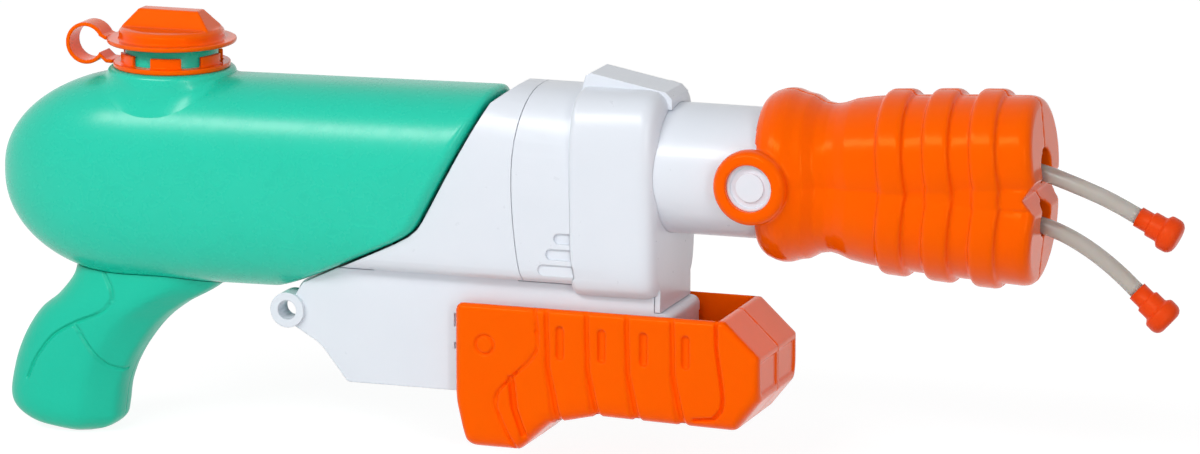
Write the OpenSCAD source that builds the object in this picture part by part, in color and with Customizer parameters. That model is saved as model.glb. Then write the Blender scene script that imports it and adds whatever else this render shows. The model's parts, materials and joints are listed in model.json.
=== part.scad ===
// Large pump-action water squirter with a rear tank, a sliding pump grip
// and a tilting nozzle that whips two soft hoses.
// X runs forward to the nozzle, Z is up, and the right-hand side is -Y.
// The origin is below the middle of the body, on the surface it stands on.

/* [Fits] */
// Wall thickness of the moulded shells
wall = 2.6; // [2:0.1:3]
// Gap between neighbouring mouldings
seam = 0.3; // [0.3:0.05:0.5]
// Radial clearance of a round part in its bore
run = 0.05; // [0.03:0.01:0.1]

/* [Tank] */
// Full width of the tank
tank_w = 76; // [70:1:82]
// Full height of the tank
tank_h = 99.6; // [94:0.2:104]
// Height of the tank's centre line over the ground, at the filler neck
tank_z = 127.3; // [125:0.1:130]
// X of the rearmost point of the tank
tank_rear = -257; // [-262:1:-246]
// Length of the rounded rear end
tank_round = 70; // [60:1:80]
// Rise of the tank's centre line for each millimetre forward
tank_rise = 0.016; // [0:0.002:0.02]
// Depth of the rounded edge round the tank's front
tank_bevel = 6; // [3:0.5:8]

/* [Split between tank and housing] */
// X of the lower corner of the split
split_x = -38; // [-42:0.5:-34]
// Height of the lower corner of the split
split_z = 113; // [108:0.5:118]
// Forward lean of the split above the corner, per millimetre of height
split_up = 0.53; // [0.4:0.01:0.7]
// Forward lean of the split below the corner, per millimetre of height
split_down = 2.1; // [1.8:0.05:2.4]
// Width of the open joint along the split
split_gap = 1.6; // [1:0.1:2.5]

/* [Filler neck and cap] */
// X of the filler neck's axis
neck_x = -171; // [-175:0.5:-167]
// Outer radius of the sealing neck
neck_r = 22; // [20:0.5:23]
// Wall of the neck
neck_wall = 2.4; // [2:0.1:3]
// Radius of the shoulder under the neck
shoulder_r = 30.6; // [29:0.2:33]
// Height of the shoulder's top over the tank's top at the neck
shoulder_rise = 2.5; // [2:0.1:4]
// Height of the neck above the shoulder
neck_rise = 10.2; // [9:0.1:11]
// Radius of the cap ring's flange
ring_r = 27.8; // [27:0.1:29]
// Thickness of the cap ring's flange
ring_t = 2.4; // [2:0.1:3]
// Height of the clips that stand on the cap ring
clip_h = 7.2; // [6:0.1:7.6]
// Radius of the cap's flange
cap_flange_r = 30.8; // [30:0.1:32]
// Thickness of the cap's flange
cap_flange_t = 2.2; // [2:0.1:2.6]
// Radius of the cap's body
cap_r = 25; // [24:0.1:26]
// Height of the cap's body over its flange
cap_body_h = 6.8; // [5:0.1:8]
// Height of the finger ridge on the cap
ridge_h = 8.6; // [6:0.1:10]
// Depth of the plug below the cap's flange
plug_h = 6; // [5:0.1:7]
// Clearance between the plug and the neck
plug_gap = 0.7; // [0.6:0.05:1]
// Thickness of the flat seal under the cap
cap_seal_t = 1.2; // [1:0.1:2]
// Outer radius of the strap's loop
loop_r = 10; // [9:0.1:11]
// Thickness of the strap
strap_t = 1.8; // [1.5:0.1:2.2]
// Width of the strap
strap_w = 13; // [11:0.5:15]

/* [Grip] */
// Full width of the grip
grip_w = 42; // [38:0.5:44]
// Depth of the seam groove between the grip's panels
grip_groove = 1; // [0.6:0.1:1.4]

/* [Housing] */
// Full width of the upper housing
house_w = 66; // [64:0.5:70]
// Height of the housing's top
house_top = 183; // [181:0.5:185]
// Height of the lower edge of the upper housing
house_low = 93; // [91:0.5:95]
// Height at which the housing is widest
house_mid = 122; // [118:0.5:128]
// Full width of the lower chassis
chassis_w = 45; // [42:0.5:46]
// Height of the chassis's underside
chassis_low = 38.2; // [38:0.2:42]
// X of the chassis's front wall
chassis_front = 84.6; // [83:0.2:87]
// X of the joint between the housing and the mid shroud, at the barrel's height
shroud_x = 10.4; // [8:0.4:14]
// How far that joint bows forward at the top and the bottom
shroud_bow = 5; // [2:0.5:6]
// Outer radius of the lanyard loops
lanyard_r = 8.4; // [8:0.1:9]
// Radius of a lanyard loop's hole
lanyard_hole_r = 4.6; // [4:0.1:5]
// Length of each lanyard loop, along Y
lanyard_w = 12.5; // [10:0.5:14]
// How far a lanyard loop stands out of the chassis
lanyard_proud = 2; // [1:0.25:3]
// X of the lanyard loops
lanyard_x = -104.2; // [-106:0.2:-103]
// Height of the lanyard loops
lanyard_z = 70.9; // [70:0.1:71.2]
// Depth of the rail grooves in the chassis's sides
rail_depth = 1.4; // [1.2:0.1:1.6]

/* [Shroud and collar] */
// Height of one vent recess
vent_h = 5.2; // [4:0.1:6]
// Distance between vent recesses
vent_pitch = 7.6; // [7:0.1:8.4]
// Depth of a vent recess
vent_depth = 1.4; // [1:0.1:1.8]
// X of the collar's rear edge
collar_x = 39; // [36:0.5:42]
// Length of the collar
collar_len = 41; // [38:0.5:44]
// Full width of the collar
collar_w = 69; // [67:0.5:72]
// Height of the collar's underside
collar_low = 87; // [86:0.5:89]
// Height of the collar's top
collar_top = 185; // [184:0.5:187]
// Width of the sight block
sight_w = 24; // [20:0.5:28]
// Height of the sight block's rear edge over the collar
sight_h = 6; // [4:0.5:8]

/* [Barrel and nozzle pivot] */
// Height of the barrel's axis
barrel_z = 147; // [145:0.5:149]
// Outer radius of the barrel
barrel_r = 30.4; // [29:0.1:31]
// Length of the barrel
barrel_len = 143; // [139:1:146]
// Distance from the barrel's front end back to the nozzle's pivot axis
pivot_back = 16; // [14:0.5:18]
// Radius of the pivot pins on the barrel
trunnion_r = 10.9; // [10:0.1:12]
// How far a pivot pin stands out of the barrel
trunnion_h = 5.6; // [5:0.1:6]
// Outer radius of the nozzle's pivot rings
boss_r = 17.5; // [16.5:0.25:18.5]
// How far a pivot ring stands out past the pin's end
boss_over = 3; // [2:0.25:4]

/* [Nozzle] */
// Distance from the pivot axis forward to the nozzle's rear rim
rim_start = 1; // [0.5:0.25:2]
// Length of the nozzle from its rear rim to its front face
nozzle_len = 129; // [126:1:132]
// Offset of the two lobes from the axis at the rear rim
lobe_rear = 4.5; // [4:0.25:5]
// Offset of the two lobes from the axis at the front face
lobe_front = 17.6; // [16:0.1:18]
// How far the lobes' radius at the bulb is over the barrel's radius
bulb_over = 4.6; // [4:0.1:5.2]
// Radius of the lobes at the neck
neck_lobe_r = 26.8; // [26:0.1:28]
// Radius of the lobes at the first rib
rib_lobe_r = 29.6; // [28.5:0.1:30.5]
// Radius of the lobes at the front face
face_lobe_r = 26.8; // [26:0.1:27.5]
// Number of ribs
rib_count = 3; // [1:1:3]
// Distance between ribs
rib_pitch = 21.8; // [20:0.2:22.4]
// Width of a rib
rib_w = 12; // [10:0.25:13]
// Height of a rib
rib_h = 2.8; // [2:0.1:3.4]
// Distance from the rear rim to the first rib's middle
rib_start = 63.7; // [62:0.1:65]
// Depth of the crease between the lobes
crease = 2; // [1.4:0.1:2.6]
// Radius of the two outlet holes
outlet_r = 8.2; // [7:0.1:8.6]
// Distance of an outlet hole from the axis
outlet_off = 12.2; // [11:0.1:12.6]
// Depth of the valley across the front face
valley = 5; // [3:0.25:6]
// Radius of the swivel ball
ball_r = 9; // [8:0.25:10]
// Greatest tilt of the nozzle either way, in degrees
nozzle_tilt = 18; // [10:1:20]

/* [Hoses] */
// Outer diameter of the soft hoses
hose_d = 7.6; // [6:0.2:8]
// Radius of a tip's rounded head
tip_r = 8.2; // [7:0.1:9]
// Length of a tip's rounded head
tip_head = 9.2; // [7:0.1:10]

/* [Pump] */
// Full width of the pump grip
pump_w = 62; // [60:0.5:64]
// Wall of the pump grip's sides
pump_wall = 3.2; // [2.8:0.1:4]
// Side clearance between the pump's guide ribs and the chassis grooves
pump_gap = 0.5; // [0.4:0.05:0.8]
// X of the pump grip's rear edge
pump_rear = -18.2; // [-21:0.2:-17]
// X of the pump grip's front face
pump_front = 130; // [127:0.5:132]
// Height of the pump grip's top edge
pump_top = 82.2; // [80:0.2:83]
// Height of the pump grip's foot
pump_foot = 13; // [11:0.2:14]
// Height of the pump grip's straight underside
pump_low = 30; // [28:0.2:31]
// Rounding of the pump grip's outer edges
pump_round = 3.2; // [2:0.2:4]
// Stroke of the pump
stroke = 70; // [66:1:72]
// Number of finger slots on each side
slot_count = 4; // [3:1:4]
// Distance between finger slots
slot_pitch = 20.4; // [19:0.1:21]
// Height of a finger slot
slot_h = 16; // [12:0.5:18]
// Width of a finger slot
slot_w = 3.8; // [3:0.1:4.5]
// Depth of the slots and grooves
slot_depth = 1.2; // [0.8:0.1:1.5]
// Width of the grooves across the grip
groove_w = 2.2; // [1.6:0.1:2.6]

/* [Pump cylinder] */
// Height of the pump cylinder's axis
cyl_z = 60; // [59:0.25:61]
// Inner radius of the pump cylinder
cyl_r = 12; // [11:0.1:13]
// Wall of the pump cylinder
cyl_wall = 2; // [1.6:0.1:2.2]
// Radius of the piston rod
rod_r = 5; // [4:0.1:5.5]
// Radius of the rod's cross pin
pin_r = 2; // [1.6:0.1:2.4]
// Length of the cylinder beyond the stroke, for the piston, the bush and the end room
cyl_spare = 48.8; // [48:0.2:52]

/* [Screws] */
// Radius of a screw's shank
screw_r = 1.5; // [1.2:0.05:1.8]
// Radius of a screw's head
screw_head_r = 3; // [2.6:0.05:3.2]
// Height of a screw's head
screw_head_h = 2; // [1.6:0.05:2.4]
// Wall of a screw post
post_wall = 2.6; // [2:0.1:3]
// Length of a grip screw
grip_screw_len = 20; // [18:0.5:22]
// Distance of a grip screw's head from the middle
grip_screw_y = 8; // [6:0.5:10]
// Length of a housing screw
house_screw_len = 24; // [22:0.5:26]
// Distance of a housing screw's head from the middle
house_screw_y = 12; // [10:0.5:14]
// Length of a pump screw
pump_screw_len = 20; // [18:0.5:22]
// Distance of a pump screw's head from the middle
pump_screw_y = 8; // [6:0.5:10]
// Length of a nozzle screw
nozzle_screw_len = 16; // [14:0.5:18]
// Distance of a nozzle screw's head from the middle
nozzle_screw_y = 10; // [8:0.5:11]

/* [Hidden] */
$fn = 64;
eps = 0.01;
far = 200;

teal = "#2bc4a4";
teal_matte = "#33b89c";
orange = "#ff6200";
tip_orange = "#e8481f";
white = "#eef1f6";
clear_grey = "#c4bdb6";
steel = "#a9adb3";
black = "#2c2d30";

function unit(v) = v / norm(v);
function flat(v) = [v[0], v[1]];

// Rounds each corner of an outline. A point is [x, z, corner radius].
function fillet(p, n = 5) = [
  for (i = [0 : len(p) - 1])
    let (
      b = flat(p[i]),
      u = unit(flat(p[(i + len(p) - 1) % len(p)]) - b),
      v = unit(flat(p[(i + 1) % len(p)]) - b),
      half = acos(u * v) / 2,
      r = p[i][2],
      c = b + unit(u + v) * r / sin(half),
      a0 = atan2((b + u * r / tan(half) - c)[1], (b + u * r / tan(half) - c)[0]),
      a1 = atan2((b + v * r / tan(half) - c)[1], (b + v * r / tan(half) - c)[0]),
      turn = ((a1 - a0 + 540) % 360) - 180
    )
    each r < eps ? [b] : [for (k = [0 : n]) c + r * [cos(a0 + turn * k / n), sin(a0 + turn * k / n)]]
];

// Moves every edge of a counter-clockwise outline inwards by d, and its radii with it.
function inset(p, d) = [
  for (i = [0 : len(p) - 1])
    let (
      e1 = unit(flat(p[i]) - flat(p[(i + len(p) - 1) % len(p)])),
      e2 = unit(flat(p[(i + 1) % len(p)]) - flat(p[i])),
      n1 = [-e1[1], e1[0]],
      m = unit(n1 + [-e2[1], e2[0]]),
      q = flat(p[i]) + m * d / (m * n1),
      bend = e1[0] * e2[1] - e1[1] * e2[0] > 0 ? -d : d
    )
    [q[0], q[1], p[i][2] < eps ? 0 : max(p[i][2] + bend, 0.3)]
];

// One closed section: half width w, heights up and down from the widest level,
// and the squareness of the upper and lower halves. Starts at the bottom.
function section(w, up, down, n_up, n_down, count) = [
  for (j = [0 : count - 1])
    let (a = -90 + 360 * j / count, n = a > 0 && a < 180 ? n_up : n_down, h = a > 0 && a < 180 ? up : down)
    [w * sign(cos(a)) * pow(abs(cos(a)), 2 / n), h * sign(sin(a)) * pow(abs(sin(a)), 2 / n)]
];

// Skins a list of rings that are mirrored about Y, and closes both ends.
module loft(rings) {
  n = len(rings[0]);
  last = (len(rings) - 1) * n;
  polyhedron(
    points = [for (r = rings) each r],
    faces = [
      for (i = [0 : len(rings) - 2]) for (j = [0 : n - 1])
        let (a = i * n + j, b = i * n + (j + 1) % n)
        each [[a, b + n, b], [a, a + n, b + n]],
      for (j = [0 : n / 2 - 2]) each [[j, j + 1, n - j - 1], [last + j + 1, last + j, last + n - j - 1]],
      for (j = [1 : n / 2 - 1]) each [[j, n - j - 1, n - j], [last + n - j - 1, last + j, last + n - j]]
    ],
    convexity = 6
  );
}

// A half moulding from y = 0 out to y = -w, with its outer edge rounded by r.
// The middle is a point inside the outline that sees all of it.
module rounded_half(line, middle, w, r, steps = 3) {
  rings = [
    [for (p = fillet(line)) [p[0], 0, p[1]]],
    for (k = [0 : steps])
      [
        for (p = fillet(inset(line, r * (1 - cos(90 * k / steps)))))
          [p[0], -(w - r + r * sin(90 * k / steps)), p[1]]
      ]
  ];
  n = len(rings[0]);
  last = (len(rings) - 1) * n;
  polyhedron(
    points = concat([for (q = rings) each q], [[middle[0], 0, middle[1]], [middle[0], -w, middle[1]]]),
    faces = [
      for (j = [0 : n - 1]) [j, (j + 1) % n, last + n],
      for (i = [0 : len(rings) - 2]) for (j = [0 : n - 1])
        let (a = i * n + j, b = i * n + (j + 1) % n)
        each [[a, b + n, b], [a, a + n, b + n]],
      for (j = [0 : n - 1]) [last + (j + 1) % n, last + j, last + n + 1]
    ],
    convexity = 6
  );
}

// Extrudes a drawing in X and Z between two values of Y.
module slab(y0, y1) {
  translate([0, y1, 0]) rotate([90, 0, 0]) linear_extrude(y1 - y0) children();
}

// Extrudes a drawing in Y and Z between two values of X.
module along_x(x0, x1) {
  translate([x0, 0, 0]) rotate([90, 0, 90]) linear_extrude(x1 - x0) children();
}

module x_rod(r, x0, x1, z, y = 0) {
  translate([x0, y, z]) rotate([0, 90, 0]) cylinder(r = r, h = x1 - x0);
}

module y_rod(r, y0, y1, x, z) {
  translate([x, y1, z]) rotate([90, 0, 0]) cylinder(r = r, h = y1 - y0);
}

module z_rod(r, z0, z1, x, y = 0) {
  translate([x, y, z0]) cylinder(r = r, h = z1 - z0);
}

// The right-hand or left-hand half of a symmetrical moulding.
module half(side) {
  intersection() {
    children();
    translate([-2 * far, side < 0 ? -far : 0, -far]) cube([4 * far, far, 3 * far]);
  }
}

// A screw along Y with its head at the left, and the space that it needs.
module screw(x, z, y_head, length) {
  y_rod(screw_r, y_head - length, y_head, x, z);
  y_rod(screw_head_r, y_head, y_head + screw_head_h, x, z);
}

module screw_space(x, z, y_head, length) {
  y_rod(screw_r + run, y_head - length - 1, y_head, x, z);
  y_rod(screw_head_r + seam, y_head, y_head + far, x, z);
}

// Places that several pieces share.
gland_flange = 2.5;
cyl_front = chassis_front - wall - 0.4 - gland_flange - seam;
cyl_rear = cyl_front - stroke - cyl_spare;
block_len = 27;
socket_deep = 7;
block_x = cyl_rear + socket_deep - block_len;
block_half = 16;
block_low = cyl_z - 12;
block_top = cyl_z + 17;
port_x = [block_x + 7, block_x + 19];
port_r = 3;
gland_nose_r = 7;
barrel_rear = 0;
barrel_front = barrel_rear + barrel_len;
pivot_x = barrel_front - pivot_back;
nozzle_rear = pivot_x + rim_start;
nozzle_front = nozzle_rear + nozzle_len;
bulb_r = barrel_r + bulb_over;
shoulder_z = tank_z + tank_h / 2 + shoulder_rise;
collar_front = collar_x + collar_len;

// Shape of the split: x of the joint at height z, with a softened corner.
split_soft = 3;
function split_at(z) = -split_soft * ln(
  exp(-(split_x + split_up * (z - split_z)) / split_soft)
  + exp(-(split_x + split_down * (z - split_z)) / split_soft)
);

// Tank: superellipse sections, round behind, bent to the split in front.
tank_sides = 40;
tank_square = 2.5;
function tank_mid(x) = tank_z + tank_rise * (x - neck_x);
function tank_ring(x, scale_by, lean, shrink, advance, t) = [
  for (p = section(tank_w / 2 - t - shrink, tank_h / 2 - t - shrink, tank_h / 2 - t - shrink,
                   tank_square, tank_square, tank_sides))
    let (
      x_near = split_at(tank_mid(split_x) + p[1]),
      x_split = split_at(tank_mid(x_near) + p[1]) - t - advance,
      x_here = x + (x_split - x) * lean
    )
    [x_here, p[0] * scale_by, tank_mid(x_here) + p[1] * scale_by]
];
module tank_form(t) {
  rear = tank_rear + t;
  loft([
    for (a = [8, 20, 34, 48, 62, 76, 90]) tank_ring(rear + (tank_round - t) * (1 - cos(a)), sin(a), 0, 0, 0, t),
    for (u = [0.25, 0.5, 0.75]) tank_ring(rear + tank_round - t, 1, u, 0, tank_bevel, t),
    for (a = [0, 30, 60, 90])
      tank_ring(rear + tank_round - t, 1, 1, tank_bevel * (1 - cos(a)), tank_bevel * (1 - sin(a)), t)
  ]);
}

neck_top = shoulder_z + neck_rise;
shoulder_run = shoulder_z - tank_z - tank_h / 4;
spigot_x = port_x[0];
spigot_low = 95;
spigot_flange_z = 101.8;
spigot_r = 3.6;
spigot_bore = 2.2;
lug_x = split_at(160) - 6;
lug_len = 26;
lug_z = 160;
lug_t = 5;
module water_tank() color(teal) difference() {
  union() {
    difference() {
      union() {
        tank_form(0);
        translate([neck_x, 0, tank_z + tank_h / 4]) rotate_extrude() polygon([
          [0, 0], [shoulder_r, 0], [shoulder_r, shoulder_run - 2.6], [shoulder_r - 0.8, shoulder_run - 1],
          [shoulder_r - 2.6, shoulder_run], [0, shoulder_run]
        ]);
      }
      tank_form(wall);
      z_rod(neck_r - neck_wall, tank_z, neck_top + 1, neck_x);
    }
    translate([neck_x, 0, shoulder_z - 3]) rotate_extrude()
      translate([neck_r - neck_wall, 0]) square([neck_wall, neck_rise + 3]);
    z_rod(spigot_r, spigot_low, spigot_flange_z + 8, spigot_x);
    z_rod(spigot_r + 3, spigot_flange_z, spigot_flange_z + 8, spigot_x);
    translate([lug_x, -8, lug_z - lug_t / 2]) cube([lug_len, 16, lug_t]);
  }
  z_rod(spigot_bore, spigot_low - 1, spigot_flange_z + 14, spigot_x);
  y_rod(screw_r + run, -far, far, lug_x + lug_len - 5, lug_z);
}

// Rubber ring on the tank's spigot, between its flange and the intake hose.
grommet_t = 3;
module tank_grommet() color(black) difference() {
  z_rod(spigot_r + 3, spigot_flange_z - grommet_t, spigot_flange_z - eps, spigot_x);
  z_rod(spigot_r + run, spigot_low, spigot_flange_z + 1, spigot_x);
}

// Snap ring round the neck, with clips that the cap closes on.
ring_z = shoulder_z + eps;
clip_count = 6;
module cap_ring() color(orange) translate([neck_x, 0, ring_z]) {
  difference() {
    union() {
      rotate_extrude() translate([neck_r + run, 0]) square([ring_r - neck_r - run, ring_t]);
      difference() {
        rotate_extrude() translate([neck_r + run, 0]) square([2.2, clip_h]);
        for (k = [0 : clip_count - 1]) rotate(60 * k + 15)
          translate([0, -5, ring_t]) cube([far, 10, far]);
      }
    }
  }
}

// Cap: flange, body with a shoulder, finger ridge and plug.
cap_z = neck_top + cap_seal_t + 2 * eps;
ridge_top = [15, 4];
ridge_base = [22, 9];
module cap() color(orange) translate([neck_x, 0, cap_z]) {
  difference() {
    union() {
      rotate_extrude() polygon([
        [0, 0], [cap_flange_r - 0.8, 0], [cap_flange_r, 0.8], [cap_flange_r, cap_flange_t], [cap_r, cap_flange_t],
        [cap_r, cap_body_h - 1], [cap_r - 1.6, cap_body_h + 0.6], [cap_r - 4, cap_body_h + 1], [0, cap_body_h + 1]
      ]);
      hull() {
        translate([0, 0, cap_body_h + 0.5]) linear_extrude(0.5)
          square([2 * ridge_base[0], 2 * ridge_base[1]], center = true);
        translate([0, 0, cap_body_h + ridge_h]) linear_extrude(0.5)
          square([2 * ridge_top[0], 2 * ridge_top[1]], center = true);
      }
      difference() {
        translate([0, 0, -plug_h]) cylinder(r = neck_r - neck_wall - plug_gap, h = plug_h + 1);
        translate([0, 0, -plug_h - 1]) cylinder(r = neck_r - neck_wall - plug_gap - 2, h = plug_h + 1);
      }
    }
  }
}

// Flat seal ring between the neck's rim and the cap.
module cap_seal() color(black) translate([neck_x, 0, neck_top + eps]) rotate_extrude()
  translate([neck_r - neck_wall - plug_gap + run, 0]) square([neck_wall + plug_gap, cap_seal_t]);

// Strap: an open loop from the cap ring round to the cap's flange.
strap_z = (ring_z + ring_t / 2 + cap_z + cap_flange_t / 2) / 2 + 2.4;
strap_x = neck_x - cap_flange_r - loop_r - 1;
strap_open = 32;
module cap_strap() color(orange) {
  slab(-strap_w / 2, strap_w / 2) translate([strap_x, strap_z]) difference() {
    circle(r = loop_r);
    circle(r = loop_r - strap_t);
    polygon([[0, 0], far * [cos(strap_open), sin(strap_open)], far * [cos(strap_open), -sin(strap_open)]]);
  }
  strap_tail(cap_z + cap_flange_t / 2 - strap_t / 2, neck_x - cap_flange_r - eps, 1);
  strap_tail(ring_z + ring_t / 2 - strap_t / 2, neck_x - ring_r - eps, -1);
}
module strap_tail(z, x_end, up) {
  r = loop_r - strap_t / 2;
  x0 = strap_x + r * cos(strap_open);
  z0 = strap_z + up * r * sin(strap_open);
  slab(-strap_w / 2, strap_w / 2) polygon(concat(
    [[x0 - 0.8, z0 - strap_t / 2], [x0 + 2.6, z - up * 0.2], [x_end, z]],
    [[x_end, z + strap_t], [x0 + 2.6, z + strap_t - up * 0.2], [x0 - 0.8, z0 + strap_t / 2]]
  ));
}

// Grip: rings set square to the handle's slope. Each is
// [rear x, rear z, front x, front z, share of the full width].
grip_rings = [
  [-219, 84, -141, 85, 0.94], [-221.5, 76, -148, 75, 0.97], [-229, 66.5, -164, 65.5, 1],
  [-238, 59, -175.5, 56.5, 1], [-245, 49, -185, 45, 1], [-250, 38, -191.5, 34, 1], [-253, 27, -195.4, 23.5, 1],
  [-254.3, 17, -197, 13, 1], [-252, 10.5, -198.5, 6.8, 0.94], [-245, 5.2, -204, 2.4, 0.78], [-236, 2.2, -212, 0, 0.5]
];
grip_square = 2.5;
grip_sides = 32;
module grip_form(t) loft([
  for (g = grip_rings)
    let (
      rear = [g[0], g[1]], front = [g[2], g[3]], mid = (rear + front) / 2,
      reach = norm(rear - front) / 2 - t, dir = unit(front - rear)
    )
    [
      for (p = section(reach, grip_w / 2 * g[4] - t, grip_w / 2 * g[4] - t, grip_square, grip_square, grip_sides))
        [mid[0] + dir[0] * p[0], -p[1], mid[1] + dir[1] * p[0]]
    ]
]);

grip_seat_r = 52;
grip_screw_at = [[-190, 66], [-212, 46], [-226, 18]];
module grip_body() difference() {
  grip_form(0);
  difference() {
    grip_form(wall);
    for (s = grip_screw_at) y_rod(screw_r + post_wall, -far, far, s[0], s[1]);
    grip_saddle(wall);
  }
  grip_saddle(0);
  difference() {
    slab(-grip_w, grip_w) grip_seams();
    grip_form(grip_groove);
  }
}
// The lines between the grip's panels: a long swing and a branch to the front.
grip_seam_w = 1.2;
module grip_seams() {
  groove_line([[-199.7, 81], [-195.4, 73], [-195.8, 67], [-202, 61.2], [-214, 56], [-226, 48.7], [-235, 37.5], [-240, 27]],
              grip_seam_w);
  groove_line([[-214.4, 55], [-203, 38], [-197.5, 33.6], [-192, 32.4], [-180, 33]], grip_seam_w);
}
// Everything above the saddle that fits under the tank.
module grip_saddle(t) translate([neck_x, 0, tank_z - tank_h / 2 - seam + grip_seat_r]) {
  rotate([0, 90 - atan(tank_rise), 0]) cylinder(r = grip_seat_r + t, h = 2 * far, center = true, $fn = 128);
}
module grip_right() color(teal_matte) difference() {
  half(-1) grip_body();
  for (s = grip_screw_at) screw_space(s[0], s[1], grip_screw_y, grip_screw_len);
}
module grip_left() color(teal_matte) difference() {
  half(1) grip_body();
  for (s = grip_screw_at) screw_space(s[0], s[1], grip_screw_y, grip_screw_len);
}
module grip_screws() color(steel) for (s = grip_screw_at) screw(s[0], s[1], grip_screw_y, grip_screw_len);

// Housing: the upper shell and the narrower chassis below it.
house_sides = 48;
house_up = 2.9;
house_down = 7;
module house_section(t) polygon([
  for (p = section(house_w / 2 - t, house_top - house_mid - t, house_mid - house_low - t,
                   house_up, house_down, house_sides)) [p[0], house_mid + p[1]]
]);

// X of the joint with the shroud at height z: two half parabolas that meet at the barrel's height.
function shroud_at(z) = shroud_x + shroud_bow * pow((z - barrel_z) / (z > barrel_z ? house_top - barrel_z : barrel_z - house_low), 2);
// Everything in front of that joint, moved back by a gap.
module shroud_side(gap) slab(-far, far) polygon(concat(
  [for (k = [0 : 12]) let (z = house_low - 1 + (house_top - house_low + 2) * k / 12) [shroud_at(z) - gap, z]],
  [[far, house_top + 1], [far, house_low - 1]]
));
// Side view of everything behind the split, which the housing leaves free.
module tank_side(gap) slab(-far, far) polygon([
  for (z = [60 : 4 : 176]) [split_at(z) + gap, z],
  [split_at(house_top) + gap + 7, house_top + 1], [-far, house_top + 1], [-far, 60]
]);
// Height of the chassis's step under the collar's front skirt.
step_z = collar_low - 5;
chassis_line = [
  [lanyard_x + 4, lanyard_z + 8, 0], [lanyard_x + 1, lanyard_z - 6.5, 0], [-88, 55.5, 20], [-74.6, chassis_low, 3],
  [chassis_front, chassis_low, 2], [chassis_front, step_z, 4], [collar_front - 3, step_z, 0],
  [collar_front - 3, house_low - seam, 0], [lanyard_x + 13, house_low - seam, 0]
];
module chassis_outline(t) polygon(fillet(inset(chassis_line, t)));

rail_z = [71.8, 59.6];
rail_h = [6.4, 3.2];
rail_rear = pump_rear - 3;
shell_half = chassis_w / 2;
house_screw_at = [[-84, 80], [-68, 56], [30, 81], [-27, 111], [lug_x + lug_len - 5, lug_z]];
module housing_solid() {
  difference() {
    union() {
      difference() {
        along_x(lanyard_x, shroud_x + shroud_bow) house_section(0);
        shroud_side(0);
      }
      slab(-shell_half, shell_half) chassis_outline(0);
      translate([port_x[1] - 20, -shell_half, house_low - 3]) cube([shroud_x - port_x[1] + 20, chassis_w, 5]);
    }
    tank_side(split_gap);
  }
  for (y0 = [-shell_half - lanyard_proud, shell_half + lanyard_proud - lanyard_w])
    y_rod(lanyard_r, y0, y0 + lanyard_w, lanyard_x, lanyard_z);
}
module housing_void() {
  along_x(lanyard_x - 1, shroud_x - wall) house_section(wall);
  difference() {
    slab(-(shell_half - wall - 0.4), shell_half - wall - 0.4) chassis_outline(wall);
    tank_side(split_gap + wall);
  }
  translate([port_x[1] - 16, -12, house_low - 6]) cube([shroud_x - wall - port_x[1] + 16, 24, 12]);
  z_rod(spigot_r + 4, house_low - 8, spigot_flange_z + 8, spigot_x);
}
module housing_body() {
  difference() {
    housing_solid();
    difference() {
      housing_void();
      housing_posts();
    }
    x_rod(barrel_r + run, barrel_rear - 1, shroud_x + shroud_bow + 1, barrel_z);
    x_rod(gland_nose_r + run, chassis_front - far / 4, chassis_front + 1, cyl_z);
    y_rod(lanyard_hole_r, -far, far, lanyard_x, lanyard_z);
    for (side = [-1, 1]) for (k = [0, 1])
      translate([rail_rear, side * shell_half - rail_depth, rail_z[k] - rail_h[k] / 2])
        cube([far, 2 * rail_depth, rail_h[k]]);
    for (s = house_screw_at) screw_space(s[0], s[1], house_screw_y, house_screw_len);
    lug_space();
  }
}
// Screw posts, the cradle of the pump cylinder and the seat of the valve block.
module housing_posts() {
  for (s = house_screw_at) y_rod(screw_r + post_wall, -house_w / 2, house_w / 2, s[0], s[1]);
  for (x = [cyl_rear + 20, cyl_front - 12]) difference() {
    translate([x, -shell_half, chassis_low]) cube([3, chassis_w, cyl_z - chassis_low + 4]);
    x_rod(cyl_r + cyl_wall + run, x - 1, x + 4, cyl_z);
  }
  difference() {
    translate([block_x, -shell_half, chassis_low]) cube([3, chassis_w, block_low - seam - chassis_low]);
  }
  difference() {
    along_x(barrel_rear, barrel_rear + 3) house_section(0);
    x_rod(barrel_r + run, barrel_rear - 1, barrel_rear + 4, barrel_z);
    translate([-far, -far, 0]) cube([2 * far, 2 * far, barrel_z - barrel_r - 4]);
  }
}
module lug_space() translate([lug_x - far, -8 - seam, lug_z - lug_t / 2 - seam])
  cube([far + lug_len + seam, 16 + 2 * seam, lug_t + 2 * seam]);
module housing_right() color(white) half(-1) housing_body();
module housing_left() color(white) half(1) housing_body();
module housing_screws() color(steel) for (s = house_screw_at) screw(s[0], s[1], house_screw_y, house_screw_len);

// Shroud between the housing and the collar, with three vent recesses a side.
vent_z = 101;
vent_x = [23.5, 27.5, 31.5];
shroud_front = collar_x + 8;
module mid_shroud() color(white) difference() {
  intersection() {
    along_x(shroud_x, shroud_front) house_section(0);
    shroud_side(-seam);
  }
  along_x(shroud_x - 1, shroud_front + 1) intersection() {
    house_section(wall);
    translate([-far, house_low + wall]) square(2 * far);
  }
  x_rod(barrel_r + run, shroud_x - 1, shroud_front + 1, barrel_z);
  for (side = [-1, 1]) for (k = [0 : 2]) translate([0, side * (house_w / 2 - vent_depth), 0])
    slab(min(0, side * far), max(0, side * far)) hull() {
      translate([vent_x[k] + vent_h / 2, vent_z + k * vent_pitch]) circle(d = vent_h, $fn = 24);
      translate([shroud_front, vent_z + k * vent_pitch]) circle(d = vent_h, $fn = 24);
    }
}

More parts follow.
